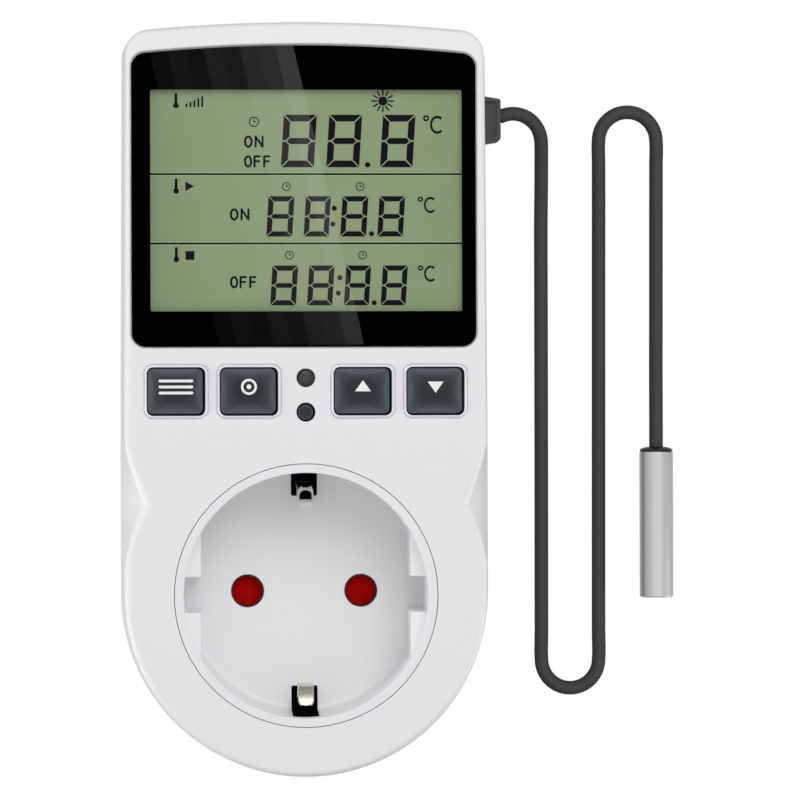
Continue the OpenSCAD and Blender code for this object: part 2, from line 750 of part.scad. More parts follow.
// Power board and what it carries

relay_at = [-4, 39];
dropper_at = [11, 62];
smoother_at = [-17, 54];
bridge_at = [-4, 53];
bridge_size = [8.5, 6.5, 3.4];
varistor_at = [-3, 64];
varistor_d = 10;
varistor_t = 4.2;
varistor_lead = 1.5;     // how far the varistor's disc stands off the board
fuse_at = [-8, 74];
fuse_l = 20;
fuse_d = 5;
fuse_cap_l = 4;
connector_size = [6, 5, 6.5];
connector_x = 17;

module power_board() color(board_green)
    difference() {
        slab([2 * board_side, power_far - power_near, board_t],
             [0, (power_far + power_near) / 2, power_board_z]);
        for (p = power_places)
            hole(small_screw_d + 2 * slide_gap, power_board_z - overrun, power_top + overrun, p);
        for (p = case_places)
            hole(case_post_d + 2 * swing_gap, power_board_z - overrun, power_top + overrun, p);
    }

module relay() color("#22262b")
    slab([relay_l, relay_w, relay_h], [relay_at[0], relay_at[1], power_top]);

module dropper_capacitor() color("#b8882c")
    slab([dropper_w, dropper_l, dropper_h], [dropper_at[0], dropper_at[1], power_top]);

module smoothing_capacitor() color("#24304a")
    post(smoother_d, smoother_h, [smoother_at[0], smoother_at[1], power_top]);

module bridge_rectifier() color(window_black)
    slab(bridge_size, [bridge_at[0], bridge_at[1], power_top]);

module varistor() color("#2c57a0")
    union() {
        translate([varistor_at[0], varistor_at[1], power_top + varistor_lead + varistor_d / 2])
            rotate([90, 0, 0])
                cylinder(d = varistor_d, h = varistor_t, center = true, $fn = 48);
        for (s = [-1, 1])
            slab([led_leg_w, led_leg_w, varistor_lead + varistor_d / 2],
                 [varistor_at[0] + s * varistor_d / 4, varistor_at[1], power_top]);
    }

module fuse() color(steel)
    translate([fuse_at[0], fuse_at[1], power_top + fuse_d / 2])
        rotate([0, 90, 0])
            union() {
                translate([0, 0, -fuse_l / 2])
                    cylinder(d = fuse_d, h = fuse_cap_l, $fn = 48);
                translate([0, 0, fuse_l / 2 - fuse_cap_l])
                    cylinder(d = fuse_d, h = fuse_cap_l, $fn = 48);
                cylinder(d = fuse_d - led_leg_w, h = fuse_l - fuse_cap_l, center = true, $fn = 48);
            }

module sensor_connector() color(cup_white)
    slab(connector_size, [connector_x, gland_y, power_top]);

// Socket

ring_r = ring_d / 2;
recess_r = recess_d / 2;
hole_x = pin_pitch / 2;
channel_wall = 1.1;      // wall round an earth slot
channel_r = ring_r + cup_step;
slot_out_r = channel_r - channel_wall;
cup_screw_r = 12;        // distance of the carrier's screws from the axis
cup_screw_tip = 1.4;     // how far those screws enter the recess floor

module socket_cup() color(cup_white)
    difference() {
        union() {
            post(ring_d, front_z - cup_low_z, [0, 0, cup_low_z]);
            post(2 * channel_r, key_flange_t, [0, 0, plate_z - fit_gap - key_flange_t]);
            intersection() {
                slab([slot_w + 2 * channel_wall, 2 * channel_r, plate_z - fit_gap - cup_low_z],
                     [0, 0, cup_low_z]);
                post(2 * channel_r, plate_z - cup_low_z, [0, 0, cup_low_z]);
            }
        }
        difference() {
            hole(recess_d, recess_z, front_z + overrun, [0, 0]);
            for (s = [-1, 1])
                difference() {
                    slab([recess_r, recess_d, recess_depth - guide_drop],
                         [s * (guide_gap / 2 + recess_r / 2), 0, recess_z]);
                    slab([recess_d, guide_notch_w, recess_depth], [0, 0, recess_z]);
                }
        }
        for (s = [-1, 1]) {
            hole(hole_d, cup_low_z - overrun, recess_z + overrun, [s * hole_x, 0]);
            slab([slot_w, slot_out_r - slot_in_r, front_z - slot_drop - cup_low_z + overrun],
                 [0, s * (slot_in_r + slot_out_r) / 2, cup_low_z - overrun]);
            hole(small_screw_d + 2 * press_gap, cup_low_z - overrun, cup_low_z + cup_screw_tip + fit_gap,
                 [0, s * cup_screw_r]);
        }
    }

// Shutter and its carrier

hub_r = spring_r + wire_d / 2 + swing_gap;
wing_w = 4.6;            // width of a wing beside the hub
carrier_wall = 1.2;      // ring wall of the carrier
carrier_hole_d = hole_d + 2 * swing_gap;
spring_turns = 2.5;
spring_pitch = 0.42;     // rise of the spring in one turn
spring_per_turn = 12;
groove_h = spring_turns * spring_pitch + wire_d + swing_gap;
pillar_d = 4;            // pillar round a carrier screw

module shutter() color(shutter_red)
    difference() {
        union() {
            hole(2 * hub_r, shutter_z, shutter_z + shutter_t, [0, 0]);
            slab([pin_pitch, wing_w, shutter_t], [0, 0, shutter_z]);
            for (s = [-1, 1])
                hole(2 * wing_r, shutter_z, shutter_z + shutter_t, [s * hole_x, 0]);
        }
        hole(pivot_d + 2 * pivot_gap, shutter_z - overrun, shutter_z + shutter_t + overrun, [0, 0]);
    }

module shutter_carrier() color(cup_white)
    difference() {
        union() {
            difference() {
                hole(2 * carrier_r, carrier_z, cup_low_z, [0, 0]);
                hole(2 * (carrier_r - carrier_wall), carrier_top_z, cup_low_z + overrun, [0, 0]);
            }
            hole(pivot_d, carrier_top_z - overrun, cup_low_z, [0, 0]);
            for (s = [-1, 1])
                hole(pillar_d, carrier_top_z - overrun, cup_low_z, [0, s * cup_screw_r]);
        }
        for (s = [-1, 1]) {
            hole(carrier_hole_d, carrier_z - overrun, carrier_top_z + overrun, [s * hole_x, 0]);
            hole(small_screw_d + 2 * fit_gap, carrier_z - overrun, cup_low_z + overrun,
                 [0, s * cup_screw_r]);
        }
        difference() {
            hole(2 * hub_r, carrier_top_z - groove_h, carrier_top_z + overrun, [0, 0]);
            hole(pivot_d, carrier_top_z - groove_h - overrun, carrier_top_z + 2 * overrun, [0, 0]);
        }
    }

spring_low = carrier_top_z - groove_h + wire_d / 2;

module shutter_spring() color(steel) {
    steps = spring_turns * spring_per_turn;
    turns = [for (i = [0:steps]) let (a = 360 * i / spring_per_turn)
        [spring_r * cos(a), spring_r * sin(a), spring_low + spring_pitch * i / spring_per_turn]];
    tube(turns, wire_d, [0, 1, 0], [0, -1, 0]);
}

module cup_screws() color(steel)
    for (s = [-1, 1])
        screw_up(small_screw_d, small_head_d, board_head_h, cup_low_z + cup_screw_tip - carrier_z,
                 [0, s * cup_screw_r, carrier_z]);

// A screw that points up, with its head's bearing face at a point
cross_long_share = 0.7;  // length of the cross recess, of the head's diameter
cross_wide_share = 0.15; // width of its arms

module screw_up(d, top_d, top_h, shank_l, at) {
    difference() {
        union() {
            post(top_d, top_h, [at[0], at[1], at[2] - top_h]);
            post(d, shank_l, at);
        }
        for (turn = [0, 90])
            translate([at[0], at[1], at[2] - top_h])
                rotate([0, 0, turn])
                    cube([top_d * cross_long_share, top_d * cross_wide_share, top_h], center = true);
    }
}

// Contacts

sleeve_out_d = sleeve_d + 2 * sleeve_t;
sleeve_top = carrier_z - swing_gap;
head_d = 6.2;            // collar of a plug pin inside the boss
head_h = 1.6;            // thickness of that collar
pin_root_z = boss_h - 2 * head_h;
pin_top_z = pin_root_z + head_h;
tower_gap = 0.15;        // round a sleeve in its tower
tower_wall = 1.1;
tower_d = sleeve_out_d + 2 * (tower_gap + tower_wall);
flange_t = 1.5;          // flange of the plug insert inside the casing
insert_top = floor_z + flange_t;
pin_neck_d = 4.2;        // neck of a plug pin inside the boss
pin_mouth_gap = 0.35;    // how much wider the boss is round the root of a pin
pin_mouth_d = pin_d + pin_mouth_gap;
pin_mouth_h = 0.6;       // depth of that widened mouth
tip_room_z = front_z - recess_depth - pin_l;
tip_room_d = pin_d + swing_gap;   // room for the tip of the load's pin
shelf_z = insert_top;
slit_w = 0.6;            // slit that lets a sleeve spring
solder_w = 2;            // solder tab of a contact
tab_h = 2.4;
tab_out = 3;
tab_down = 5;            // from the top of a sleeve to its solder tab
tab_z = sleeve_top - tab_down;

module contact(x, low) {
    difference() {
        union() {
            hole(sleeve_out_d, low, sleeve_top, [x, 0]);
            slab([solder_w, tab_out + sleeve_t, tab_h],
                 [x, sleeve_out_d / 2 + (tab_out - sleeve_t) / 2, tab_z]);
        }
        hole(sleeve_d, low - overrun, sleeve_top + overrun, [x, 0]);
        slab([slit_w, sleeve_out_d, sleeve_top - shelf_z], [x, -sleeve_out_d / 2, shelf_z + overrun]);
    }
}

module line_contact() color(brass) contact(-hole_x, shelf_z);
module neutral_contact() color(brass) contact(hole_x, pin_top_z);

strap_r = boss_d / 2 - earth_t - fit_gap;
strap_in = strap_r - earth_t;
clip_in = 2.5;           // how far an earth clip's foot lies inside the recess's wall
clip_foot_y = recess_r - clip_in;
strap_low = 2.5;         // how far the strap's plug face begins above the boss end
strap_top = 29;
link_z = insert_top + fit_gap;
link_w = 4.4;            // cross link of the earth strap

module earth_strap() color(steel)
    union() {
        for (s = [-1, 1]) {
            slab([earth_w, earth_t, strap_top - strap_low], [0, s * (strap_in + earth_t / 2), strap_low]);
            slab([link_w, abs(clip_foot_y - strap_in) + earth_t + fit_gap, earth_t],
                 [0, s * ((clip_foot_y + strap_in + earth_t - fit_gap) / 2), strap_top - earth_t]);
        }
        slab([link_w, 2 * strap_r, earth_t], [0, 0, link_z]);
    }

// An earth clip: a bent strip that stands on the strap and hooks inwards through its slot
clip_foot_z = strap_top + swing_gap;
clip_drop = 1.3;         // how far a clip's top lies below the slot's end
clip_top_z = front_z - slot_drop - clip_drop;
clip_knee_share = 0.5;   // place of the knee, of the recess's depth
clip_knee_z = recess_z + recess_depth * clip_knee_share;
clip_back_share = 0.45;  // reach of the clip's top, of the knee's reach

module clip(s) color(steel)
    translate([-clip_w / 2, 0, 0])
        rotate([90, 0, 90])
            linear_extrude(clip_w)
                scale([s, 1])
                    polygon([
                        [clip_foot_y, clip_foot_z], [clip_foot_y + clip_t, clip_foot_z],
                        [clip_foot_y + clip_t, recess_z],
                        [clip_foot_y - clip_reach + clip_t, clip_knee_z],
                        [clip_foot_y - clip_reach * clip_back_share + clip_t, clip_top_z],
                        [clip_foot_y - clip_reach * clip_back_share, clip_top_z],
                        [clip_foot_y - clip_reach, clip_knee_z],
                        [clip_foot_y, recess_z - clip_t]
                    ]);

module earth_clip_top() clip(1);
module earth_clip_bottom() clip(-1);

// Plug

rib_reach = boss_d / 2;
strap_slot_w = earth_w + 2 * fit_gap;
wire_slot_w = 2.4;       // channel for the line wire in the insert
wire_slot_far = 14.4;    // how far that channel runs from the axis

module plug_insert() color(shell_white)
    difference() {
        union() {
            intersection() {
                hole(boss_d, 0, boss_h, [0, 0]);
                union() {
                    slab([boss_flat_w, boss_d, boss_h], [0, 0, 0]);
                    slab([2 * rib_reach, boss_rib_w, boss_h], [0, 0, 0]);
                }
            }
            hole(boss_d, boss_h, floor_z, [0, 0]);
            hole(ring_d, floor_z, insert_top, [0, 0]);
            for (s = [-1, 1])
                hole(tower_d, floor_z, sleeve_top - 2 * fit_gap, [s * hole_x, 0]);
        }
        for (s = [-1, 1]) {
            hole(pin_neck_d + 2 * press_gap, -overrun, boss_h, [s * hole_x, 0]);
            hole(pin_mouth_d, -overrun, pin_mouth_h, [s * hole_x, 0]);
            hole(head_d + 2 * press_gap, pin_root_z, pin_top_z + press_gap, [s * hole_x, 0]);
            hole(sleeve_out_d + 2 * tower_gap, s > 0 ? pin_top_z : shelf_z, sleeve_top, [s * hole_x, 0]);
            hole(tip_room_d, tip_room_z - swing_gap, sleeve_top, [s * hole_x, 0]);
            slab([solder_w + 2 * fit_gap, tower_d, sleeve_top],
                 [s * hole_x, tower_d / 2, tab_z - fit_gap]);
            slab([strap_slot_w, earth_t + 2 * fit_gap, insert_top + overrun],
                 [0, s * (strap_in + earth_t / 2), strap_low - fit_gap]);
            slab([strap_slot_w, boss_d / 2 - strap_in, boss_h - strap_low],
                 [0, s * (strap_in + (boss_d / 2 - strap_in) / 2), strap_low - fit_gap]);
        }
        slab([wire_slot_w, wire_slot_far, insert_top],
             [-hole_x, wire_slot_far / 2 + head_d / 2 - tower_wall, pin_root_z]);
    }

module pin_at(x) color(steel)
    union() {
        hole(pin_d, pin_tip - pin_l, 0, [x, 0]);
        hole(pin_neck_d, -pin_neck_d / 2, pin_top_z, [x, 0]);
        translate([x, 0, -pin_l])
            cylinder(d1 = pin_d - pin_tip, d2 = pin_d, h = pin_tip, $fn = 48);
        hole(head_d, pin_root_z, pin_top_z, [x, 0]);
    }

module line_pin() pin_at(-hole_x);
module neutral_pin() pin_at(hole_x);

// Wires, whose ends lie face to face with a pin, a tab or the power board
inner_wire_d = 1.6;
wire_start_y = head_d / 2;
line_route = [
    [-hole_x, wire_start_y, pin_top_z - head_h / 2], [-hole_x, 7, 15.2], [-hole_x, 10.5, 15.6],
    [-hole_x, 12.8, 17.5], [-hole_x, 14.6, 21.5], [-10.5, 18, 25], [-12.5, 23, 27], [-14, 27.4, 26.4],
    [-14.4, 28.6, 24.8], [-14.4, 28.8, power_top]
];
load_route = [
    [-hole_x, sleeve_out_d / 2 + tab_out, tab_z + tab_h / 2], [-hole_x, 9, 27.2], [-8.6, 14, 27.4],
    [-7.4, 20, 27.6], [-6.6, 25.6, 27], [-6.2, 28.4, 25.2], [-6.2, 28.8, power_top]
];
neutral_route = [
    [hole_x, sleeve_out_d / 2 + tab_out, tab_z + tab_h / 2], [hole_x, 9, 27.2], [9, 14, 27.4],
    [7.6, 20, 27.6], [6.6, 25.6, 27], [6.2, 28.4, 25.2], [6.2, 28.8, power_top]
];

module line_wire() color("#6b3f22") tube(line_route, inner_wire_d, [0, 1, 0], [0, 0, -1]);
module load_wire() color("#6b3f22") tube(load_route, inner_wire_d, [0, 1, 0], [0, 0, -1]);
module neutral_wire() color("#2f5fa8") tube(neutral_route, inner_wire_d, [0, 1, 0], [0, 0, -1]);

// Gland, sensor lead and probe

gland_in = 1.2;          // flange of the gland inside the wall
gland_lap = 0.4;         // thickness of the gland's outer rim, at both ends
gland_back = gland_face - wall_t - gland_in - 2 * gland_gap;

module gland_ring(w, x, t) {
    translate([x, gland_y, gland_z])
        rotate([0, 90, 0])
            translate([0, 0, t / 2])
                cube([w, w, t], center = true);
}

module sensor_gland() color(rubber_grey)
    difference() {
        union() {
            hull() {
                gland_ring(gland_w, gland_face + gland_gap, gland_lap);
                gland_ring(gland_end_w, gland_end[0] - gland_lap, gland_lap);
            }
            gland_ring(gland_neck_w, gland_back, gland_face + gland_gap + gland_lap - gland_back);
            gland_ring(gland_w, gland_back, gland_in);
        }
        translate([gland_face - casing_w / 2, gland_y, gland_z])
            rotate([0, 90, 0])
                cylinder(d = lead_d + 2 * press_gap, h = casing_w, $fn = 48);
    }

module inner_lead() color(rubber_grey)
    translate([connector_x + connector_size[0] / 2, gland_y, gland_z])
        rotate([0, 90, 0])
            cylinder(d = lead_d, h = gland_end[0] - connector_x - connector_size[0] / 2, $fn = 48);

module sensor_cord() color(rubber_grey)
    tube(smooth(lead_route), lead_d, [1, 0, 0], [0, -1, 0]);

tip_r = 0.8;             // rounded edge of the probe's closed end
potting_up = 0.5;        // how far the sealing stands out of the sleeve
potting_gap = 0.02;
bead_d = 2.2;
bead_l = 4;
bead_share = 0.85;       // place of the bead along the probe

module along_probe() {
    translate([probe_mouth[0], probe_mouth[1] - potting_up, probe_mouth[2]])
        rotate([90, 0, 0])
            children();
}

module probe_tube() color(steel)
    along_probe()
        difference() {
            rotate_extrude($fn = 64)
                union() {
                    square([probe_d / 2, probe_l - tip_r]);
                    square([probe_d / 2 - tip_r, probe_l]);
                    translate([probe_d / 2 - tip_r, probe_l - tip_r])
                        intersection() {
                            circle(tip_r, $fn = 32);
                            square(tip_r);
                        }
                }
            translate([0, 0, -overrun])
                cylinder(d = probe_d - 2 * probe_wall, h = probe_l - tip_r + overrun, $fn = 48);
        }

potting_d = probe_d - 2 * (probe_wall + potting_gap);

module probe_potting() color(window_black)
    along_probe()
        difference() {
            translate([0, 0, -potting_up])
                cylinder(d = potting_d, h = probe_l - tip_r + potting_up - potting_gap, $fn = 48);
            translate([0, 0, probe_l * bead_share - bead_l / 2 - potting_gap])
                cylinder(d = bead_d + 2 * potting_gap, h = bead_l + 2 * potting_gap, $fn = 48);
        }

module thermistor() color("#1c1c1e")
    along_probe()
        translate([0, 0, probe_l * bead_share - bead_l / 2])
            cylinder(d = bead_d, h = bead_l, $fn = 48);

// Screws

module case_screws() color(steel)
    for (p = case_places)
        screw_up(screw_d, screw_head_d, case_head_h, case_screw_l,
                 [p[0], p[1], back_z + case_head_up + case_head_h]);

module display_board_screws() color(steel)
    for (p = board_places)
        screw_up(small_screw_d, small_head_d, board_head_h, board_screw_l + board_t,
                 [p[0], p[1], display_board_z]);

module power_board_screws() color(steel)
    for (p = power_places)
        translate([p[0], p[1], power_top])
            mirror([0, 0, 1])
                screw_up(small_screw_d, small_head_d, board_head_h, board_t + power_board_up - fit_gap,
                         [0, 0, 0]);

front_cover();
rear_cover();
display_window();
lcd_panel();
lcd_holder();
lcd_zebra_strips();
mode_key();
set_key();
up_key();
down_key();
reset_button();
mode_plunger();
set_plunger();
up_plunger();
down_plunger();
reset_plunger();
indicator_led();
display_board();
tact_switches();
microcontroller();
backup_cell();
power_board();
relay();
dropper_capacitor();
smoothing_capacitor();
bridge_rectifier();
varistor();
fuse();
board_link();
sensor_connector();
socket_cup();
shutter();
shutter_spring();
shutter_carrier();
cup_screws();
line_contact();
neutral_contact();
earth_strap();
earth_clip_top();
earth_clip_bottom();
plug_insert();
line_pin();
neutral_pin();
line_wire();
load_wire();
neutral_wire();
sensor_gland();
inner_lead();
sensor_cord();
probe_tube();
probe_potting();
thermistor();
case_screws();
display_board_screws();
power_board_screws();
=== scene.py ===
# %% [markdown]
# # A plug-in temperature controller, seen from the front
# A white box plugs into a wall outlet, carries a round socket for an appliance, and
# switches it by the temperature that a steel probe on a thin lead reports.
# The construction model fixes every size and joint. This lesson dresses it: new meshes
# stand where the eye is close, and every other part keeps its own shape and gets a finish.

# %% Load the construction model
import math
import bpy
from mathutils import Matrix, Vector


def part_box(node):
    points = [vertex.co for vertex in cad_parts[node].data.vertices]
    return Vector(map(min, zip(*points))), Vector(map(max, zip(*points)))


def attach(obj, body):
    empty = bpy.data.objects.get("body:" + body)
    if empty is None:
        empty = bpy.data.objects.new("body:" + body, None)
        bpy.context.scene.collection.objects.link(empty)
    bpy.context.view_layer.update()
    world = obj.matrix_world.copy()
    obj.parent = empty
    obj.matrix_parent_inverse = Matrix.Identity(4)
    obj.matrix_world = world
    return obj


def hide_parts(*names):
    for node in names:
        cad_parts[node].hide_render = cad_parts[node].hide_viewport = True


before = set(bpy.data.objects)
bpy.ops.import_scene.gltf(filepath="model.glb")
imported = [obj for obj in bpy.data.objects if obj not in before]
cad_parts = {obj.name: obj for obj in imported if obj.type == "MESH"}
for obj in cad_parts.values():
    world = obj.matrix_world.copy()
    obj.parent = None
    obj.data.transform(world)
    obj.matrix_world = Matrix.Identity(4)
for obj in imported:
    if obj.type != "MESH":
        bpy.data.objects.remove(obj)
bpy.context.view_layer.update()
scene = bpy.context.scene
scene.view_settings.view_transform = "Standard"

# %% [markdown]
# ## Camera
# A long lens far above the face, as for a catalogue picture. A shorter one close by
# would show much of the side walls, and this one lets them almost vanish. The camera
# leans a little to the left, so a thin strip of the socket's right wall shows. It is
# placed in metres and degrees.

# %% Place the camera
camera = bpy.data.objects.new("camera", bpy.data.cameras.new("camera"))
camera.location = (-0.01277, 0.02884, 0.64188)
camera.rotation_euler = [math.radians(a) for a in (0.301, -2.742, -0.174)]
camera.data.lens = 162.05
camera.data.sensor_width = 36
camera.data.clip_start = 0.01
scene.collection.objects.link(camera)
scene.camera = camera
print("camera at", tuple(camera.location))

# %% [markdown]
# ## Colours and finishes
# Colours are written as screen colours, so one function turns them into the linear
# values that light is reckoned in. A second one adds a node with its settings and links.
# A third builds a finish with it: a Principled surface whose colour, gloss and relief
# come from noise whose grain is a real size in millimetres. One flat colour would be
# quicker, but moulded plastic is never quite even, and this little unevenness makes it
# look like plastic. Real mould texture, near 0.05 mm, is too fine to show at this
# distance, so the grains here are drawn as coarse as they need to show.

# %% Colours and nodes
MM = 0.001


def linear(code):
    parts = [int(code[i:i + 2], 16) / 255 for i in (1, 3, 5)]
    return [c / 12.92 if c <= 0.04045 else ((c + 0.055) / 1.055) ** 2.4 for c in parts] + [1]


def node(tree, kind, inputs, **settings):
    """A new node of a kind, or the node that is handed in, with its settings.
    Each input gets the value that is given, or a link from the socket that is given."""
    made = tree.nodes.new("ShaderNode" + kind) if isinstance(kind, str) else kind
    for key, value in settings.items():
        setattr(made, key, value)
    for socket, value in inputs.items():
        if isinstance(value, bpy.types.NodeSocket):
            tree.links.new(value, made.inputs[socket])
        else:
            made.inputs[socket].default_value = value
    return made


print("mid grey in linear light:", round(linear("#808080")[0], 3))

# %% One function for every finish
def finish(name, colour, rough, metal=0.0, ior=None, grain=0.4, stretch=(1, 1, 1),
           mottle=0.03, gloss=0.04, relief=0.0, shine=0.5, slope=90, painted_lean_light=1.0):
    """A Principled finish. grain is the size of the noise in mm, relief its height in mm.
    painted_lean_light is painted light and shade: the factor on the colour where the surface leans by slope
    degrees or more."""
    mat = bpy.data.materials.new(name)
    mat.use_nodes = True
    tree = mat.node_tree
    skin = {"Metallic": metal, "Specular IOR Level": shine}
    if ior:
        skin["IOR"] = ior
    where = node(tree, "TexCoord", {})
    scale = [1 / (grain * MM * s) for s in stretch]
    size = node(tree, "Mapping", {"Vector": where.outputs["Object"], "Scale": scale})
    noise = node(tree, "TexNoise", {"Vector": size.outputs["Vector"], "Scale": 1, "Detail": 3})
    tint = node(tree, "ValToRGB", {"Fac": noise.outputs["Fac"]})
    for stop, place, share in zip(tint.color_ramp.elements, (0.3, 0.7), (1 - mottle, 1 + mottle)):
        stop.position = place
        stop.color = [min(1, c * share) for c in linear(colour)[:3]] + [1]
    skin["Base Color"] = tint.outputs["Color"]
    # Painted light and shade: the colour is scaled by how far the surface leans from facing up, paler for a
    # painted highlight or darker for painted shade.
    if painted_lean_light != 1:
        facing = node(tree, "NewGeometry", {})
        height = node(tree, "SeparateXYZ", {"Vector": facing.outputs["Normal"]})
        lean = node(tree, "Math", {0: height.outputs["Z"]}, operation="ARCCOSINE")
        level = node(tree, "MapRange", {"Value": lean.outputs["Value"], "From Max": math.radians(slope),
                                        "To Min": 1, "To Max": painted_lean_light})
        paler = node(tree, "VectorMath", {0: tint.outputs["Color"], "Scale": level.outputs["Result"]},
                     operation="SCALE")
        skin["Base Color"] = paler.outputs["Vector"]
    sheen = node(tree, "MapRange", {"Value": noise.outputs["Fac"], "To Min": max(0.0, rough - gloss),
                                    "To Max": rough + gloss})
    skin["Roughness"] = sheen.outputs["Result"]
    if relief:
        bump = node(tree, "Bump", {"Height": noise.outputs["Fac"], "Distance": relief * MM})
        skin["Normal"] = bump.outputs["Normal"]
    node(tree, tree.nodes["Principled BSDF"], skin)
    print(name)
    return mat

# %% Finishes of the shell and the socket
# Moulded ABS, spark-eroded satin: a soft broad sheen and no sharp reflection.
abs_white = finish("abs_white_satin", "#EDEDF0", 0.42, ior=1.54, grain=0.35, mottle=0.012, relief=0.004)
# Polycarbonate of the socket: a little smoother and paler than the shell.
pc_white = finish("polycarbonate_white", "#F4F4F6", 0.34, ior=1.585, grain=0.5, mottle=0.012, relief=0.003)
# Moulded nylon of the shutter: dark red and satin, almost without gloss.
pa_red = finish("nylon_dark_red", "#BE0202", 0.5, ior=1.53, grain=0.3, mottle=0.04, relief=0.004, shine=0.03)
# Black sheet in the earth slots: painted shade, so matt and dark that each slot reads as a dark hole.
painted_slot_shade = finish("slot_lining_shade_black", "#060606", 0.8, ior=1.5, grain=0.3, mottle=0.1, shine=0.02)

# %% Finishes of the keys, the window and the display
# ABS keys under a thin lacquer: charcoal with a slight blue, with a painted highlight that makes it paler
# where the top curves down.
abs_charcoal = finish("abs_charcoal_lacquered", "#282D31", 0.42, ior=1.54, grain=0.25, mottle=0.05,
                      relief=0.002, shine=0.2, slope=19, painted_lean_light=3.6)
# Pad-printing ink: flat white, a touch uneven like real ink.
ink_white = finish("pad_print_white", "#F2F2F2", 0.6, ior=1.5, grain=0.15, mottle=0.02)
# Black ink behind acrylic: no shine of its own, so the border is as black as can be.
print_black = finish("black_back_print", "#010101", 0.5, ior=1.49, grain=6, mottle=0.2, shine=0)
# Reflective liquid-crystal glass: grey-green and matt from its polariser film.
polariser = finish("lcd_polariser", "#96A682", 0.6, ior=1.5, grain=0.12, mottle=0.02, relief=0.001,
                   shine=0.05)
# The same film where light gathers beside the dividing lines.
polariser_pale = finish("lcd_polariser_pale", "#B4C49E", 0.6, ior=1.5, grain=0.12, mottle=0.02, shine=0.05)
# Switched-on liquid-crystal segments: near black with a violet cast.
segment_ink = finish("lcd_segment", "#16151C", 0.6, ior=1.5, grain=0.1, mottle=0.05, shine=0.05)
# Diffused epoxy of the indicator: smoky dark lens over its chip.
led_smoke = finish("led_smoked_epoxy", "#303336", 0.32, ior=1.55, grain=0.5, mottle=0.08)

# %% Finishes of the lead, the probe and the springs
# PVC sheath of the lead: dark grey and faintly leathery, with painted shade that darkens it toward its sides
# and underside.
pvc_grey = finish("pvc_dark_grey", "#494949", 0.5, ior=1.53, grain=0.3, mottle=0.06, relief=0.006,
                  shine=0.08, painted_lean_light=0.45)
# Thermoplastic rubber of the strain relief: the grey of the lead with a soft dull sheen.
tpe_grey = finish("tpe_strain_relief", "#4A4A4A", 0.55, ior=1.5, grain=0.25, mottle=0.06,
                  relief=0.006, shine=0.2)
# Drawn stainless steel: fine marks along the tube, which blur what it mirrors.
steel_drawn = finish("stainless_drawn", "#E4E4E5", 0.4, metal=1.0, grain=0.12, stretch=(1, 40, 1),
                     mottle=0.04, gloss=0.04)
# Nickel-plated brass of pins: bright and slightly warm.
nickel = finish("nickel_plated_brass", "#CFCBC2", 0.22, metal=1.0, grain=0.3, stretch=(1, 1, 12), mottle=0.04)
# Tinned spring bronze, rolled: silvery, a little warm, with marks along the strip.
spring_strip = finish("tinned_spring_strip", "#E4E0D6", 0.2, metal=1.0, grain=0.2, stretch=(1, 8, 8),
                      mottle=0.05)
# Epoxy that seals the probe: black, wet-looking.
epoxy_black = finish("epoxy_black", "#0B0B0B", 0.25, ior=1.55, grain=0.6, mottle=0.1, relief=0.01)

# %% Finishes of the parts inside
# Silicone rubber of contact strips and plungers: dull black. Thin rings of it line the pin holes as painted
# shade.
silicone = finish("silicone_black", "#202022", 0.7, ior=1.41, grain=0.2, mottle=0.08, relief=0.006)
# Glass-fibre board with solder resist: green with a woven print-through.
fr4 = finish("fr4_green_resist", "#1F5A35", 0.32, ior=1.55, grain=0.8, stretch=(1, 0.35, 1),
             mottle=0.12, relief=0.01)
# Zinc-plated screw: cool grey, slightly rough.
zinc = finish("zinc_plated_steel", "#B9BCC0", 0.32, metal=1.0, grain=0.25, mottle=0.06)
# Moulded component bodies: matt black epoxy.
moulded_black = finish("component_black", "#191A1C", 0.45, ior=1.55, grain=0.2, mottle=0.1, relief=0.004)
# Film capacitor: glossy ochre dip.
film_yellow = finish("capacitor_ochre", "#B98A2E", 0.25, ior=1.55, grain=0.8, mottle=0.06, relief=0.01)
# Sleeve of the electrolytic capacitor: dark shrunk film.
sleeve_dark = finish("capacitor_sleeve", "#20242E", 0.3, ior=1.5, grain=0.6, mottle=0.08)
# Stamped steel of the backup cell's can: bright and brushed.
can_steel = finish("stamped_steel", "#C8C8C6", 0.24, metal=1.0, grain=0.2, stretch=(8, 1, 1), mottle=0.04)
# Insulation of the mains wires: soft PVC.
pvc_brown = finish("pvc_brown", "#5A3420", 0.42, ior=1.53, grain=0.3, mottle=0.06, relief=0.004)
pvc_blue = finish("pvc_blue", "#2B4F86", 0.42, ior=1.53, grain=0.3, mottle=0.06, relief=0.004)
print(len(bpy.data.materials), "finishes")

# %% [markdown]
# ## Building with meshes
# Most pieces are lofts: outlines stacked along one axis and joined by walls. Blocks with
# a bevel modifier would do for a draft, but a loft gives every edge its own exact round.
# `solid` makes one, `cut` and `join` combine them, and `show` adds a finished piece: it
# sets the finish, smooths every edge that is meant to be smooth, and ties it to its body.

# %% Closed meshes
def mesh_of(name, points, faces):
    """A mesh from points in mm."""
    mesh = bpy.data.meshes.new(name)
    mesh.from_pydata([Vector(p) * MM for p in points], [], faces)
    mesh.update()
    return mesh


def solid(rings, floor=True):
    """A closed mesh from rings of points in mm, which all have the same number of points.
    Without a floor it stays open below."""
    count = len(rings[0])
    last = count * (len(rings) - 1)
    faces = [list(range(count))[::-1]] if floor else []
    faces.append(list(range(last, last + count)))
    for low in range(0, last, count):
        for i in range(count):
            j = (i + 1) % count
            faces.append([low + i, low + j, low + count + j, low + count + i])
    return mesh_of("solid", [p for ring in rings for p in ring], faces)


def flat(outline, z):
    return [(x, y, z) for x, y in outline]


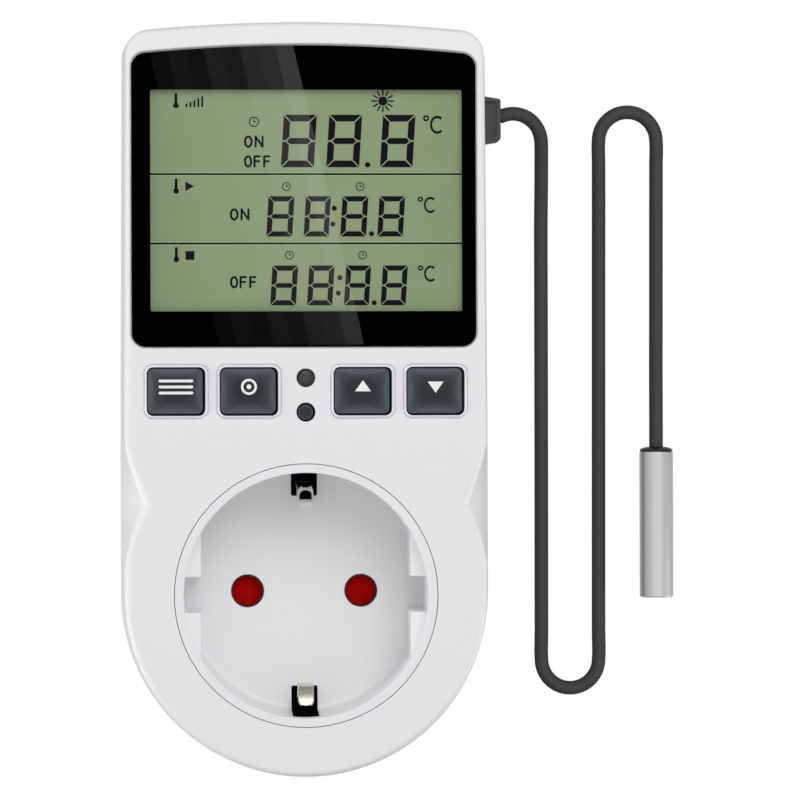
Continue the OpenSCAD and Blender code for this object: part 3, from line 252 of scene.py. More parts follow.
def merged(meshes):
    """Several closed meshes that don't touch, in one."""
    verts, faces = [], []
    for mesh in meshes:
        start = len(verts)
        verts += [v.co.copy() for v in mesh.vertices]
        faces += [[start + v for v in p.vertices] for p in mesh.polygons]
    out = bpy.data.meshes.new("merged")
    out.from_pydata(verts, [], faces)
    out.update()
    return out


print("solid, flat and merged are ready")

# %% Cutting and joining
def combine(mesh, tool, kind):
    a = bpy.data.objects.new("a", mesh)
    b = bpy.data.objects.new("b", tool)
    scene.collection.objects.link(a)
    scene.collection.objects.link(b)
    step = a.modifiers.new("step", "BOOLEAN")
    step.operation = kind
    step.solver = "MANIFOLD"
    step.object = b
    bpy.context.view_layer.update()
    out = bpy.data.meshes.new_from_object(a.evaluated_get(bpy.context.evaluated_depsgraph_get()))
    for o in (a, b):
        bpy.data.objects.remove(o)
    if not out.polygons:
        raise ValueError("an empty result")
    return out


def cut(mesh, *tools):
    for tool in tools:
        mesh = combine(mesh, tool, "DIFFERENCE")
    return mesh


def join(mesh, *tools):
    for tool in tools:
        mesh = combine(mesh, tool, "UNION")
    return mesh


print("cut and join are ready")

# %% Adding a finished piece
crease = math.radians(30)


def show(name, mesh, mat, replaces=(), body="casing"):
    """Adds a piece to the scene. Edges that turn by more than the crease stay sharp."""
    obj = bpy.data.objects.new(name, mesh)
    scene.collection.objects.link(obj)
    mesh.materials.clear()
    mesh.materials.append(mat)
    mesh.polygons.foreach_set("use_smooth", [True] * len(mesh.polygons))
    mesh.set_sharp_from_angle(angle=crease)
    weigh = obj.modifiers.new("weigh", "WEIGHTED_NORMAL")
    weigh.keep_sharp = True
    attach(obj, body)
    if replaces:
        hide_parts(*replaces)
    print(name, len(mesh.polygons), "faces")
    return obj


print("show is ready")

# %% Outlines
round_steps = 6


def arc(cx, cy, r, first, last, steps=round_steps):
    """Points of an arc from one angle to another, in degrees, with both its ends."""
    angles = [math.radians(first + (last - first) * i / steps) for i in range(steps + 1)]
    return [(cx + r * math.cos(a), cy + r * math.sin(a)) for a in angles]


def circle(cx, cy, r, steps):
    return arc(cx, cy, r, 0, 360, steps)[:-1]


def rounded(cx, cy, w, h, r, steps=10):
    """A rectangle with round corners, counter-clockwise."""
    out = []
    for sx, sy, first in ((1, 1, 0), (-1, 1, 90), (-1, -1, 180), (1, -1, 270)):
        out += arc(cx + sx * (w / 2 - r), cy + sy * (h / 2 - r), r, first, first + 90, steps)
    return out


print("a rounded outline has", len(rounded(0, 0, 2, 2, 0.5)), "points")

# %% Levels
def stack(shape, levels):
    """Rings of one shape: levels are (z, how much larger)."""
    return solid([flat(shape(grow), z) for z, grow in levels])


def block(cx, cy, w, h, r, levels):
    return stack(lambda g: rounded(cx, cy, w + 2 * g, h + 2 * g, r), levels)


def drum(cx, cy, r, steps, levels):
    return stack(lambda g: circle(cx, cy, r + g, steps), levels)


def round_edge(top, r, steps=round_steps):
    """Levels through a round edge below z = top: (z, how far the edge has gone in)."""
    return [(z, -x) for x, z in arc(-r, top - r, r, 0, 90, steps)]


def mouth(low, top, r):
    """Levels of a cutter that opens in a round edge of radius r at z = top."""
    return [(low, 0)] + round_edge(top, r) + [(top + 1, r)]


def soft_top(low, top, r):
    """Levels of a solid from low to top whose upper edge is rounded by r."""
    return [(low, 0)] + [(z, -inset) for z, inset in round_edge(top, r)]


print(len(mouth(0, 1, 0.1)), "levels in a cutter with a round mouth")

# %% Turned pieces
def turned(profile, cx, cy, steps):
    """Points (radius, z) of a profile, repeated all round the vertical through (cx, cy)."""
    angles = [i * (2 * math.pi / steps) for i in range(steps)]
    return [(cx + r * math.cos(a), cy + r * math.sin(a), z) for a in angles for r, z in profile]


def spun(profile, steps, cx=0, cy=0):
    """A solid of revolution about the vertical: profile is (radius, z) from axis to axis."""
    m = len(profile) - 2
    points = turned(profile[1:-1], cx, cy, steps) + [(cx, cy, profile[0][1]), (cx, cy, profile[-1][1])]
    first, last = steps * m, steps * m + 1
    faces = []
    for i in range(steps):
        j = (i + 1) % steps
        faces.append([first, j * m, i * m])
        for k in range(m - 1):
            faces.append([i * m + k, j * m + k, j * m + k + 1, i * m + k + 1])
        faces.append([last, i * m + m - 1, j * m + m - 1])
    return mesh_of("spun", points, faces)


print("spun is ready")

# %% [markdown]
# ## The sensor lead
# The lead leaves the strain relief on the right side, folds twice and ends in the probe.
# It is one curve with a round section, as the real one is one sheath. A swept mesh would
# look the same, but a curve keeps its route easy to read and to change. It lies on the
# plane of the casing's back, and its points repeat the route of the construction model.

# %% The lead's route
lead_start = (33.9293, 79.8, 17)


def bend(cx, cy, r, first, last):
    """Points of a round bend that lies flat, in mm from the lead's start."""
    return [(x, y, 1.2) for x, y in arc(cx, cy, r, first, last, 12)]


lead_steps = [(0, 0.62, 9), (0.5, 0.88, 8.96), (1.5, 1.17, 8.85), (2.5, 1.26, 8.68), (3.55, 1.14, 8.45),
              (4.5, 0.82, 8.16), (5.4, 0.31, 7.83), (6.15, -0.36, 7.46), (6.75, -1.17, 7.05),
              (7.17, -2.1, 6.6), (7.4, -3.05, 6.15), (7.5, -4.2, 5.6), (7.57, -6, 4.8), (7.65, -8.5, 3.75),
              (7.71, -11, 2.8), (7.75, -13.5, 2), (7.76, -16, 1.5), (7.76, -19, 1.25), (7.76, -23, 1.2),
              (7.74, -40, 1.2), (7.7, -65, 1.2), (7.65, -88, 1.2)]
lead_steps += bend(12.62, -92.85, 4.98, 180, 360)
lead_steps += [(17.61, -88, 1.2), (17.68, -65, 1.2), (17.8, -30, 1.2), (17.88, -7, 1.2)]
lead_steps += bend(22.9, -2.85, 5.02, 180, 0)
lead_steps += [(27.91, -7, 1.2), (27.85, -20, 1.2), (27.8, -34, 1.2), (27.78, -38, 1.22), (27.74, -42, 1.4),
               (27.68, -46, 1.85), (27.61, -50, 2.45), (27.56, -54, 2.85), (27.54, -56.4, 2.9)]
lead_points = [[a + b for a, b in zip(lead_start, step)] for step in lead_steps]
print("the route has", len(lead_points), "points")

# %% The lead
lead_d = 2.4


def lead_curve(name, points, thick):
    curve = bpy.data.curves.new(name, "CURVE")
    curve.dimensions = "3D"
    curve.bevel_depth = thick / 2 * MM
    curve.bevel_resolution = 8
    curve.resolution_u = 16
    curve.use_fill_caps = True
    line = curve.splines.new("BEZIER")
    line.bezier_points.add(len(points) - 1)
    for knot, p in zip(line.bezier_points, points):
        knot.co = Vector(p) * MM
        knot.handle_left_type = knot.handle_right_type = "AUTO"
    obj = bpy.data.objects.new(name, curve)
    scene.collection.objects.link(obj)
    return obj


lead = lead_curve("sensor_cord", lead_points, lead_d)
lead.data.materials.append(pvc_grey)
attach(lead, "casing")
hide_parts("sensor_cord")

# %% [markdown]
# ## The outline of the casing
# The casing is round at the socket, pinched at the waist and square at the display,
# under a shallow arch. It could be cut from boxes and cylinders, but then each level of
# the leaning walls would be cut anew. Here each point of the outline has a place, an
# outward direction and the amount by which the front is smaller, so one table gives
# every level of the shell.

# %% The table of the outline
half_w, top_half_w = 30.5, 30.2
front_draft, rear_draft = 1.0, 0.7
front_r, waist_in, waist_y, waist_top_y = 30, 3.9, 15, 29
arc_r, arc_y, corner_r = 265, -170.5, 5
corner = (top_half_w - corner_r, 88.276)
part_z, front_z, back_z, front_d = 43, 55, 17, 12
corner_end = 90 - math.degrees(math.asin(corner[0] / (arc_r - corner_r)))


def neck_x(y):
    if y <= waist_y:
        return math.sqrt(front_r ** 2 - y ** 2)
    if y >= waist_top_y:
        return front_r
    low = min(front_r - waist_in, math.sqrt(front_r ** 2 - waist_y ** 2))
    return low + (front_r - low) * math.sin(math.pi / 2 * (y - waist_y) / (waist_top_y - waist_y))


def half_table():
    rows = [((half_w * x, half_w * y), (x, y), front_draft) for x, y in arc(0, 0, 1, -90, 0, 60)]
    waist_ys = [waist_y * i / 14 for i in range(1, 15)]
    waist_ys += [waist_y + (waist_top_y - waist_y) * i / 24 for i in range(1, 25)]
    for y in waist_ys:
        rows.append(((half_w, y), (1, 0), max(front_draft, half_w - neck_x(y))))
    for x, y in arc(0, 0, 1, 0, corner_end, 14):
        rows.append(((corner[0] + corner_r * x, corner[1] + corner_r * y), (x, y), front_draft))
    for x, y in arc(0, 0, 1, corner_end, 90, 20)[1:]:
        rows.append(((arc_r * x, arc_y + arc_r * y), (x, y), front_draft))
    return rows


half_rows = half_table()
print(len(half_rows), "points on half of the outline")

# %% The outline at any level
def casing(inset, share):
    """The outline, drawn in by inset mm, at one share of the front shell's depth. The
    scoops at the waist bulge a little, because their part grows with the square."""
    right = []
    for p, d, deep in half_rows:
        back = inset + share * front_draft + share ** 2 * (deep - front_draft)
        right.append((p[0] - d[0] * back, p[1] - d[1] * back))
    return right + [(-x, y) for x, y in right[-2:0:-1]]


def window_shape(grow, centre=-0.2, width=56.4, low=40.5, top=89.9, r=2.4):
    w, r = width / 2 + grow, r + grow
    low, top = low - grow, top + grow
    arc_centre = top - arc_r - grow
    big = arc_r + grow
    reach = w - r
    tip_y = arc_centre + math.sqrt((big - r) ** 2 - reach ** 2)
    lean = math.degrees(math.asin(reach / (big - r)))
    spans = ((reach, low + r, r, -90, 0, 10), (reach, tip_y, r, 0, 90 - lean, 10),
             (0, arc_centre, big, 90 - lean, 90 + lean, 24),
             (-reach, tip_y, r, 90 + lean, 180, 10), (-reach, low + r, r, 180, 270, 10))
    out = []
    for x, y, bow, first, last, steps in spans:
        for p in arc(centre + x, y, bow, first, last, steps):
            if not out or math.dist(out[-1], p) > 1e-4:
                out.append(p)
    return out


print("outline of", len(casing(0, 0)), "points; window of", len(window_shape(0)))

# %% [markdown]
# ## Front cover
# A shell moulded in white ABS. A box with a bevel would have the same edge everywhere.
# Here every opening gets a small round edge of its own, because a mould never makes a
# sharp one and because that edge is what catches the light. The keys sit inside low
# frames that stand out of the face, each in a shallow groove.

# %% Front cover
key_x = (-21.125, -9.275, 9.275, 21.125)
key_y, key_w, key_h, key_r = 33.3, 9.35, 7.75, 0.9
wall, edge_r, part_chamfer = 2, 1.0, 0.22
frame_rise, groove_depth = 0.32, 0.32
led_y, reset_y = 35.5, 29.9
field_x, field_y, field_w, field_h = 0.2, 64.5, 50.9, 36.2


def key_shape(x, more, rounder):
    """The outline of a key, larger by more and rounder at its corners, at any growth."""
    return lambda g: rounded(x, key_y, key_w + more + 2 * g, key_h + more + 2 * g, key_r + rounder + g)


def front_block():
    """The shell before it is hollowed: its walls, then the round edge toward the face."""
    levels = [(part_z, part_chamfer), (part_z + part_chamfer, 0)]
    levels += [(part_z + rise, 0) for rise in (2, 4, 6, 7.5, 9, 10)]
    levels += round_edge(front_z, edge_r, 10)
    return solid([flat(casing(inset, (z - part_z) / front_d), z) for z, inset in levels])


def front_shell():
    frames = [stack(key_shape(x, 0.6, 0.3), soft_top(front_z - 1, front_z + frame_rise, 0.2)) for x in key_x]
    shell = join(front_block(), merged(frames))
    grooves = [cut(stack(key_shape(x, 1.4, 0.7),
                         [(front_z - groove_depth, -0.2), (front_z - 0.05, 0), (front_z + 1, 0)]),
                   stack(key_shape(x, 0.8, 0.45), [(front_z - 1, 0.05), (front_z + 2, 0)])) for x in key_x]
    shell = cut(shell, merged(grooves))
    room = solid([flat(casing(wall, (z - part_z) / front_d), z) for z in (part_z - 1, 52.5)])
    shell = cut(shell, room)
    pocket = stack(lambda g: window_shape(0.1 + g), mouth(53.45, front_z, 0.35))
    ledge = block(field_x, field_y, field_w + 1, field_h + 1, 0.8, [(50, 0), (54, 0)])
    ring = drum(0, 0, 21.53, 160, mouth(50, front_z, 0.1))
    keys = [stack(key_shape(x, 0.15, 0.15), mouth(50, front_z + frame_rise, 0.1)) for x in key_x]
    light = drum(0, led_y, 1.5, 48, mouth(50, front_z, 0.25))
    reset = drum(0, reset_y, 1.55, 48, mouth(50, front_z, 0.25))
    return cut(shell, pocket, ledge, ring, merged(keys + [light, reset]))


show("front_cover_skin", front_shell(), abs_white, ["front_cover"])

# %% [markdown]
# ## Rear cover
# The deeper half of the shell, drawn the same way: its wall leans in a little toward
# the back and ends in a larger round edge. Posts carry the four case screws. It could be
# one mesh with the front cover, but the parting line shows all round the real one.

# %% Rear cover
screw_places = [(-18.0, -18.0), (18.0, -18.0), (-24.6, 86.75), (24.6, 86.75)]
rear_edge_r = 1.6


def rear_shell():
    levels = [(back_z - z, rear_draft + inset) for z, inset in round_edge(0, rear_edge_r, 10)[::-1]]
    levels += [(part_z - part_chamfer, 0.005), (part_z, part_chamfer)]
    shell = solid([flat(casing(inset, 0), z) for z, inset in levels])
    room = solid([flat(casing(wall + rear_draft, 0), back_z + wall), flat(casing(wall, 0), part_z + 1)])
    shell = cut(shell, room)
    posts = [drum(x, y, 3.6, 32, [(18, 0), (36, 0)]) for x, y in screw_places]
    shell = join(shell, merged(posts))
    well = [(back_z - 1, 0.25), (back_z, 0.25), (back_z + 0.25, 0), (30.8, 0)]
    wells = [drum(x, y, 2.5, 32, well) for x, y in screw_places]
    bore = drum(0, 0, 19.35, 128, [(back_z - 1, 0.3), (back_z, 0.3), (back_z + 0.3, 0), (20, 0)])
    return cut(shell, merged(wells), bore)


show("rear_cover_skin", rear_shell(), abs_white, ["rear_cover"])

# %% [markdown]
# ## Display window
# A clear acrylic plate, printed black on its back except over the display. A Principled
# glass would bend and dim the picture below it. Instead the print is a thin black sheet
# of its own, and above it the plate lets everything through and adds only its mirror-flat
# face, which grows stronger at a grazing angle. Light that comes back out from below
# passes freely, or the display would lie in the dark.

# %% The black border
border = stack(window_shape, [(53.5, -0.05), (53.6, -0.05)])
opening = block(field_x, field_y, field_w, field_h, 0.25, [(52, 0), (56, 0)])
show("display_window_border", cut(border, opening), print_black, ["display_window"])

# %% Clear acrylic
# Cast acrylic, polished: nearly unseen from above, with a sharp image of what it mirrors.
pane_glass = bpy.data.materials.new("acrylic_clear")
pane_glass.use_nodes = True
tree = pane_glass.node_tree
tree.nodes.remove(tree.nodes["Principled BSDF"])
smudge_mm = 6.25
where = node(tree, "TexCoord", {})
smudge = node(tree, "TexNoise", {"Vector": where.outputs["Object"], "Scale": 1 / (smudge_mm * MM)})
tint = node(tree, "ValToRGB", {"Fac": smudge.outputs["Fac"]})
for stop, colour in zip(tint.color_ramp.elements, ("#F6F8F6", "#FFFFFF")):
    stop.color = linear(colour)
clear = node(tree, "BsdfTransparent", {"Color": tint.outputs["Color"]})
mirror = node(tree, "BsdfGlossy", {"Roughness": 0})
fresnel = node(tree, "Fresnel", {"IOR": 1.49})
side = node(tree, "NewGeometry", {})
outer_only = node(tree, "Math", {0: side.outputs["Backfacing"], 1: -1, 2: 1}, operation="MULTIPLY_ADD")
amount = node(tree, "Math", {0: fresnel.outputs["Fac"], 1: outer_only.outputs["Value"]}, operation="MULTIPLY")
blend = node(tree, "MixShader", {"Fac": amount.outputs["Value"], 1: clear.outputs["BSDF"],
                                 2: mirror.outputs["BSDF"]})
node(tree, tree.nodes["Material Output"], {"Surface": blend.outputs["Shader"]})
print(len(tree.nodes), "nodes in the clear acrylic")

# %% The clear plate
pane_levels = ((53.62, 0), (front_z - 0.2, 0), (front_z, -0.2))
pane = solid([flat(window_shape(grow), z) for z, grow in pane_levels], floor=False)
show("display_window_pane", pane, pane_glass)

# %% [markdown]
# ## Liquid-crystal panel
# A reflective panel: grey-green film with dark segments. All segments are switched on.
# A picture of the display would be less work but blurs up close, so each mark is a thin
# plate. The artwork has a grid of its own, one unit being a little under 0.04 mm, with
# its origin at the upper left. The signs beside the figures are plain pictograms.

# %% The glass and its grid
panel_low, panel_high = [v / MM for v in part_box("lcd_panel")]
panel_mid = (panel_low + panel_high) / 2
lcd_top = panel_high.z
lcd = block(panel_mid.x, panel_mid.y, panel_high.x - panel_low.x, panel_high.y - panel_low.y, 0.3,
            [(panel_low.z, 0), (lcd_top - 0.1, 0), (lcd_top, -0.1)])
show("lcd_glass", lcd, polariser, ["lcd_panel"])

unit = 0.037703
art_left, art_top = -29.4275, 91.878
ink_low, ink_high = lcd_top + 0.004, lcd_top + 0.02


def art(u, v):
    return (art_left + u * unit, art_top - v * unit)


def plate(outline, low, high):
    if sum(a[0] * b[1] - b[0] * a[1] for a, b in zip(outline, outline[1:] + outline[:1])) < 0:
        outline = outline[::-1]
    return solid([flat(outline, low), flat(outline, high)])


print("one unit of the artwork is", unit, "mm")

# %% Strokes
def bar(points, width, closed=False):
    """Flat outlines of a line of that width through points, one for each stretch, with round ends."""
    out = []
    pairs = list(zip(points, points[1:]))
    if closed:
        pairs.append((points[-1], points[0]))
    for (x0, y0), (x1, y1) in pairs:
        a = math.degrees(math.atan2(y1 - y0, x1 - x0))
        out.append(arc(x1, y1, width / 2, a - 90, a + 90) + arc(x0, y0, width / 2, a + 90, a + 270))
    return out


def hoop(cx, cy, r, width, first=0, last=360, steps=36):
    """Quads of a ring, or of part of one."""
    inner, outer = [arc(cx, cy, r + side * width / 2, first, last, steps) for side in (-1, 1)]
    return [[inner[i], outer[i], outer[i + 1], inner[i + 1]] for i in range(steps)]


def disc(x, y, r):
    return [circle(x, y, r, 24)]


print(len(hoop(0, 0, 1, 0.1)), "quads in a ring")

# %% Figures and letters
def figure(left, top, right, bottom, t, slant=math.tan(math.radians(3.5))):
    """The seven segments of an 8, leaning to the right, with mitred ends and fine gaps."""
    h = bottom - top
    w = right - left - h * slant
    m, e = h / 2, t * 0.13
    parts = [[(e, h), (w - e, h), (w - t - e, h - t), (t + e, h - t)],
             [(e, 0), (t + e, t), (w - t - e, t), (w - e, 0)],
             [(t * .55 + e, m), (t + e, m + t * .45), (w - t - e, m + t * .45), (w - t * .55 - e, m),
              (w - t - e, m - t * .45), (t + e, m - t * .45)]]
    for side in (0, 1):
        for up in (0, 1):
            wing = [(0, h - e), (0, m + e), (t * .5, m + e), (t, m + t * .45 + e), (t, h - t - e)]
            wing = [(w - x, y) if side else (x, y) for x, y in wing]
            parts.append([(x, y) if up else (x, h - y) for x, y in wing])
    return [[(left + x + y * slant, bottom - y) for x, y in p] for p in parts]


def letters(word, left, top, h, w, gap, t):
    out = []
    for k, letter in enumerate(word):
        x, y = left + k * (w + gap), top
        if letter == "O":
            ring = [(x + w / 2 + 0.475 * w * u, y + h / 2 + h / 2 * v) for u, v in circle(0, 0, 1, 24)]
            out += bar(ring, t, closed=True)
        elif letter == "N":
            out += bar([(x, y + h), (x, y), (x + w, y + h), (x + w, y)], t)
        elif letter == "F":
            out += bar([(x, y + h), (x, y), (x + w * .8, y)], t)
            out += bar([(x, y + h * .48), (x + w * .7, y + h * .48)], t)
    return out


print(len(figure(0, 0, 100, 200, 20)), "segments in a figure")

# %% Signs
def degree(x, y, size):
    bow = [[(x + size * 0.66 + u * 0.8, y + size * 0.38 + v) for u, v in quad]
           for quad in hoop(0, 0, size * 0.46, size * 0.15, 48, 312)]
    return hoop(x, y, size * 0.13, size * 0.1, steps=20) + bow


def thermometer(x, y, h):
    return bar([(x, y), (x, y + h * .62)], h * .2) + disc(x, y + h * .8, h * .2)


def clock(x, y, r):
    return hoop(x, y, r, r * .22) + bar([(x, y - r * .55), (x, y), (x + r * .45, y)], r * .2)


def sun(x, y):
    rays = []
    for u, v in circle(0, 0, 1, 12):
        rays += bar([(x + r * u, y + r * v) for r in (26, 47)], 6.5)
    return disc(x, y, 20) + rays


print(len(sun(0, 0)), "outlines in the sun")

# %% The marks on the display
# Each row has its top, its bottom, its stroke and the two edges of every figure.
figure_rows = ((352, 580, 29, ((676, 833), (873, 1030), (1107, 1262))),
               (706, 881, 22.5, ((612, 735), (774, 893), (933, 1056), (1094, 1216))),
               (1007, 1180, 22.5, ((628, 750), (788, 908), (948, 1067), (1108, 1227))))
dots = ((1053, 569, 12), (1069, 869, 11), (1080, 1169, 11),
        (908, 758, 11), (901, 827, 11), (931, 1060, 11), (924, 1127, 11))
marks = []
for top, bottom, stroke, figures in figure_rows:
    for left, right in figures:
        marks += figure(left, top, right, bottom, stroke)
for dot in dots:
    marks += disc(*dot)
marks += sun(1120, 292)
marks += degree(1308, 367, 74) + degree(1282, 719, 66) + degree(1282, 1018, 66)
for word, left, top, width, space in (("ON", 520, 447, 30, 17), ("OFF", 520, 533, 28, 14),
                                      ("ON", 458, 763, 30, 17), ("OFF", 458, 1057, 28, 14)):
    marks += letters(word, left, top, 44, width, space, 9)
for top in (264, 635, 932):
    marks += thermometer(222, top, 60)
marks += [[(262, 643), (262, 683), (300, 663)], [(262, 944), (262, 982), (300, 982), (300, 944)]]
for i in range(5):
    marks += bar([(268 + 17 * i, 316), (268 + 17 * i, 308 - 8 * i)], 8)
for place in ((560, 383, 20), (700, 664, 17), (1020, 664, 17), (712, 962, 17), (1030, 962, 17)):
    marks += clock(*place)
printed = [plate([art(u, v) for u, v in shape], ink_low, ink_high) for shape in marks]
show("lcd_segments", merged(printed), segment_ink)

# %% The rules between the rows
def rule(v, half, high):
    """A line across the display, from its left to its right margin."""
    corners = ((105, v - half), (1470, v - half), (1470, v + half), (105, v + half))
    return plate([art(*corner) for corner in corners], ink_low, high)


rules = [rule(v, 4, ink_high) for v in (610, 911)]
show("lcd_rules", merged(rules), segment_ink)
pale = [rule(v, 1.5, lcd_top + 0.018) for v in (604, 616, 905, 917)]
show("lcd_rule_edges", merged(pale), polariser_pale)

# %% [markdown]
# ## Keys, reset button and indicator
# Four charcoal caps: upright walls, a soft dome whose rim is painted paler as a highlight, and a sign
# in white ink. A subdivided cube would give a dome too, but stacked outlines keep the
# corners as tight as they are. Each cap rides on its own sliding body, so it goes down
# when pressed. The reset button hides below the face in its small hole, and above it
# sits the indicator.

# %% Key caps
def key_cap(x):
    foot = key_shape(x, -0.15, 0)

    def shape(grow):
        if grow > 0:
            return foot(grow)
        w, h = key_w - 0.42 + 2 * grow, key_h - 0.38 + 2 * grow
        return rounded(x - 0.14, key_y + 0.05, w, h, min(key_r - 0.75 * grow, w / 2 - 0.05, h / 2 - 0.05))
    pillow = [(55.2 + 0.25 * math.sin(a), -0.25 + 0.25 * math.cos(a)) for a in (0, 0.4, 0.8)]
    pillow += [(55.4 + 0.42 * (1 - (1 - t) ** 3), -0.076 - 2.3 * t) for t in [i / 12 for i in range(13)]]
    return stack(shape, [(50.9, 0.7), (52.1, 0.7), (52.1, 0)] + pillow)


def sign(kind, x, y, s):
    """Outlines of a plain sign of half height s."""
    if kind == "list":
        lines = [[(x - s * 2, y + k * s * .75), (x + s * 2, y + k * s * .75)] for k in (-1, 0, 1)]
        return [outline for line in lines for outline in bar(line, s * .34)]
    if kind == "dial":
        return hoop(x, y, s * .85, s * .3) + disc(x, y, s * .3)
    turn = 1 if kind == "up" else -1
    return [[(x - s, y - turn * s * .6), (x + s, y - turn * s * .6), (x, y + turn * s * .8)][::turn]]


key_names = ("mode_key", "set_key", "up_key", "down_key")
for name, x, kind in zip(key_names, key_x, ("list", "dial", "up", "down")):
    show(name + "_cap", key_cap(x), abs_charcoal, [name], name)
    ink = [plate(o, 55.7, 55.93) for o in sign(kind, x, key_y + 0.75, 1.3)]
    show(name + "_sign", merged(ink), ink_white, body=name)

# %% Reset button and indicator
reset_cap = spun([(0, 50.9), (1.9, 50.9), (1.9, 52.1), (1.25, 52.1), (1.25, 54.4), (1.2, 54.55), (1.05, 54.6),
                  (0.6, 54.58), (0, 54.57)], 48, -0.08, 29.88)
show("reset_button_cap", reset_cap, abs_charcoal, ["reset_button"], "reset_button")
dome = [(1.4 * x, 54.3 + 0.95 * y) for x, y in arc(0, 0, 1, 0, 80, 8)]
lens = spun([(0, 50.4), (1.7, 50.4), (1.7, 51.2), (1.4, 51.2)] + dome + [(0, 55.25)], 48, 0, led_y)
show("indicator_lens", lens, led_smoke, ["indicator_led"])

# %% [markdown]
# ## Socket
# A round cup with a ring of its own round the mouth. Two flat guides keep a plug from
# turning, two round holes take its pins and two slots hold springy earth clips. The cup
# could be cut from a solid cylinder, but spun like a pot it needs fewer cuts. Then the
# guides are added and the holes cut with round mouths. A black well and a black sheet in
# each slot are painted shade: they make it as dark as the deep slot of the real one.

# %% The cup
recess_r, floor_z, slot_r = 20, 37.5, 0.3
pin_x = (-9.5, 9.5)


def guide(sx, sy):
    """One half of a guide: a block between a straight face and the round wall."""
    def shape(grow):
        face, end, back = 17.2 - grow, 2.9 - grow, 20.4
        first, last = math.degrees(math.asin(end / back)), math.degrees(math.acos(face / back))
        out = [(face, end)] + arc(0, 0, back, first, last, 12)
        out = [(sx * x, sy * y) for x, y in out]
        return out if sx * sy > 0 else out[::-1]
    return stack(shape, soft_top(36.5, 51, 0.3))


profile = [(0, 35.5), (21.2, 35.5), (21.45, 35.75), (21.45, 53.5), (recess_r, 53.5)]
profile += arc(19.1, 38.4, 0.9, 0, -90) + [(0, floor_z)]
cup = spun(profile, 160)
cup = join(cup, merged([guide(sx, sy) for sx in (-1, 1) for sy in (-1, 1)]))
pin_holes = [drum(x, 0, 2.75, 48, mouth(34, floor_z, 0.25)) for x in pin_x]
slots = [block(0, s * 18.575, 4.4, 5.35, slot_r, [(34, 0), (52, 0)]) for s in (-1, 1)]
cup = cut(cup, merged(pin_holes), merged(slots))
show("socket_cup_skin", cup, pc_white, ["socket_cup"])

# %% The ring and the painted shade in the pin holes
def spun_ring(cx, cy, section, steps=64):
    """A ring, closed on itself, from the corners (radius, z) of its section."""
    n = len(section)
    faces = [[n * i + k, n * ((i + 1) % steps) + k, n * ((i + 1) % steps) + (k + 1) % n, n * i + (k + 1) % n]
             for i in range(steps) for k in range(n)]
    return mesh_of("ring", turned(section, cx, cy, steps), faces)


section = [(recess_r, 53.5), (21.43, 53.5)]
section += arc(21.28, 54.85, 0.15, 0, 90) + arc(20.22, 54.78, 0.22, 90, 180)
show("socket_ring", spun_ring(0, 0, section, 160), abs_white)
# Painted shade: thin black rings line the pin holes, so each red shutter shows a dark outline.
shade_ring = [(2.52, 35.52), (2.74, 35.52), (2.74, 37.2), (2.52, 37.2)]
shade_rings = [spun_ring(x, 0, shade_ring) for x in pin_x]
show("pin_hole_shade_rings", merged(shade_rings), silicone)

# %% The painted slot shades and the mark on the floor
def well_block(s, y, w, h, low, high, r=slot_r):
    return block(0, s * y, w, h, r, [(low, 0), (high, 0)])


def slot_shade(s):
    """Painted shade in a slot: a black well with a hole for the strip, and a black sheet up the wall."""
    well = join(well_block(s, 18.6, 4.3, 5.2, 35.6, 36.6), well_block(s, 18.7, 3.8, 3.8, 29.9, 36))
    well = cut(well, well_block(s, 18.7, 3.0, 3.0, 30.1, 37), well_block(s, 17.818, 2.64, 0.695, 29, 31, 0.1))
    outline = [(-2.17, 20.05), (-2.0, 20.05), (-2.0, 20.98), (2.0, 20.98), (2.0, 20.05), (2.17, 20.05),
               (2.17, 21.2), (-2.17, 21.2)]
    lining_shade = plate([(x, s * y) for x, y in outline], 36.7, 51.95)
    return [well, lining_shade]


show("earth_slot_shades", merged(slot_shade(1) + slot_shade(-1)), painted_slot_shade)
mould_mark = spun_ring(0, 0, [(3.25, 37.4), (3.4, 37.4), (3.4, 37.53), (3.25, 37.53)])
show("floor_mould_ring", mould_mark, pc_white)

# %% [markdown]
# ## Earth clips
# Bent strips of tinned spring bronze that lean into the socket and end in a round tip.
# A curve with a flat bevel would do until the tip. Each is swept by hand along its bend
# with a flat section instead, because that can narrow at the very end.

# %% Earth clips
clip_half_w, clip_half_t, tip_r, corner_cut = 1.3, 0.3, 1.5, 0.12


def smooth_line(knots, steps=6):
    """A Catmull-Rom curve through knots."""
    line = []
    for k in range(len(knots) - 1):
        p = [Vector(knots[max(0, min(len(knots) - 1, k + d))]) for d in (-1, 0, 1, 2)]
        for i in range(steps):
            t = i / steps
            line.append(0.5 * ((2 * p[1]) + (p[2] - p[0]) * t
                               + (2 * p[0] - 5 * p[1] + 4 * p[2] - p[3]) * t ** 2
                               + (3 * p[1] - p[0] - 3 * p[2] + p[3]) * t ** 3))
    return line + [Vector(knots[-1])]


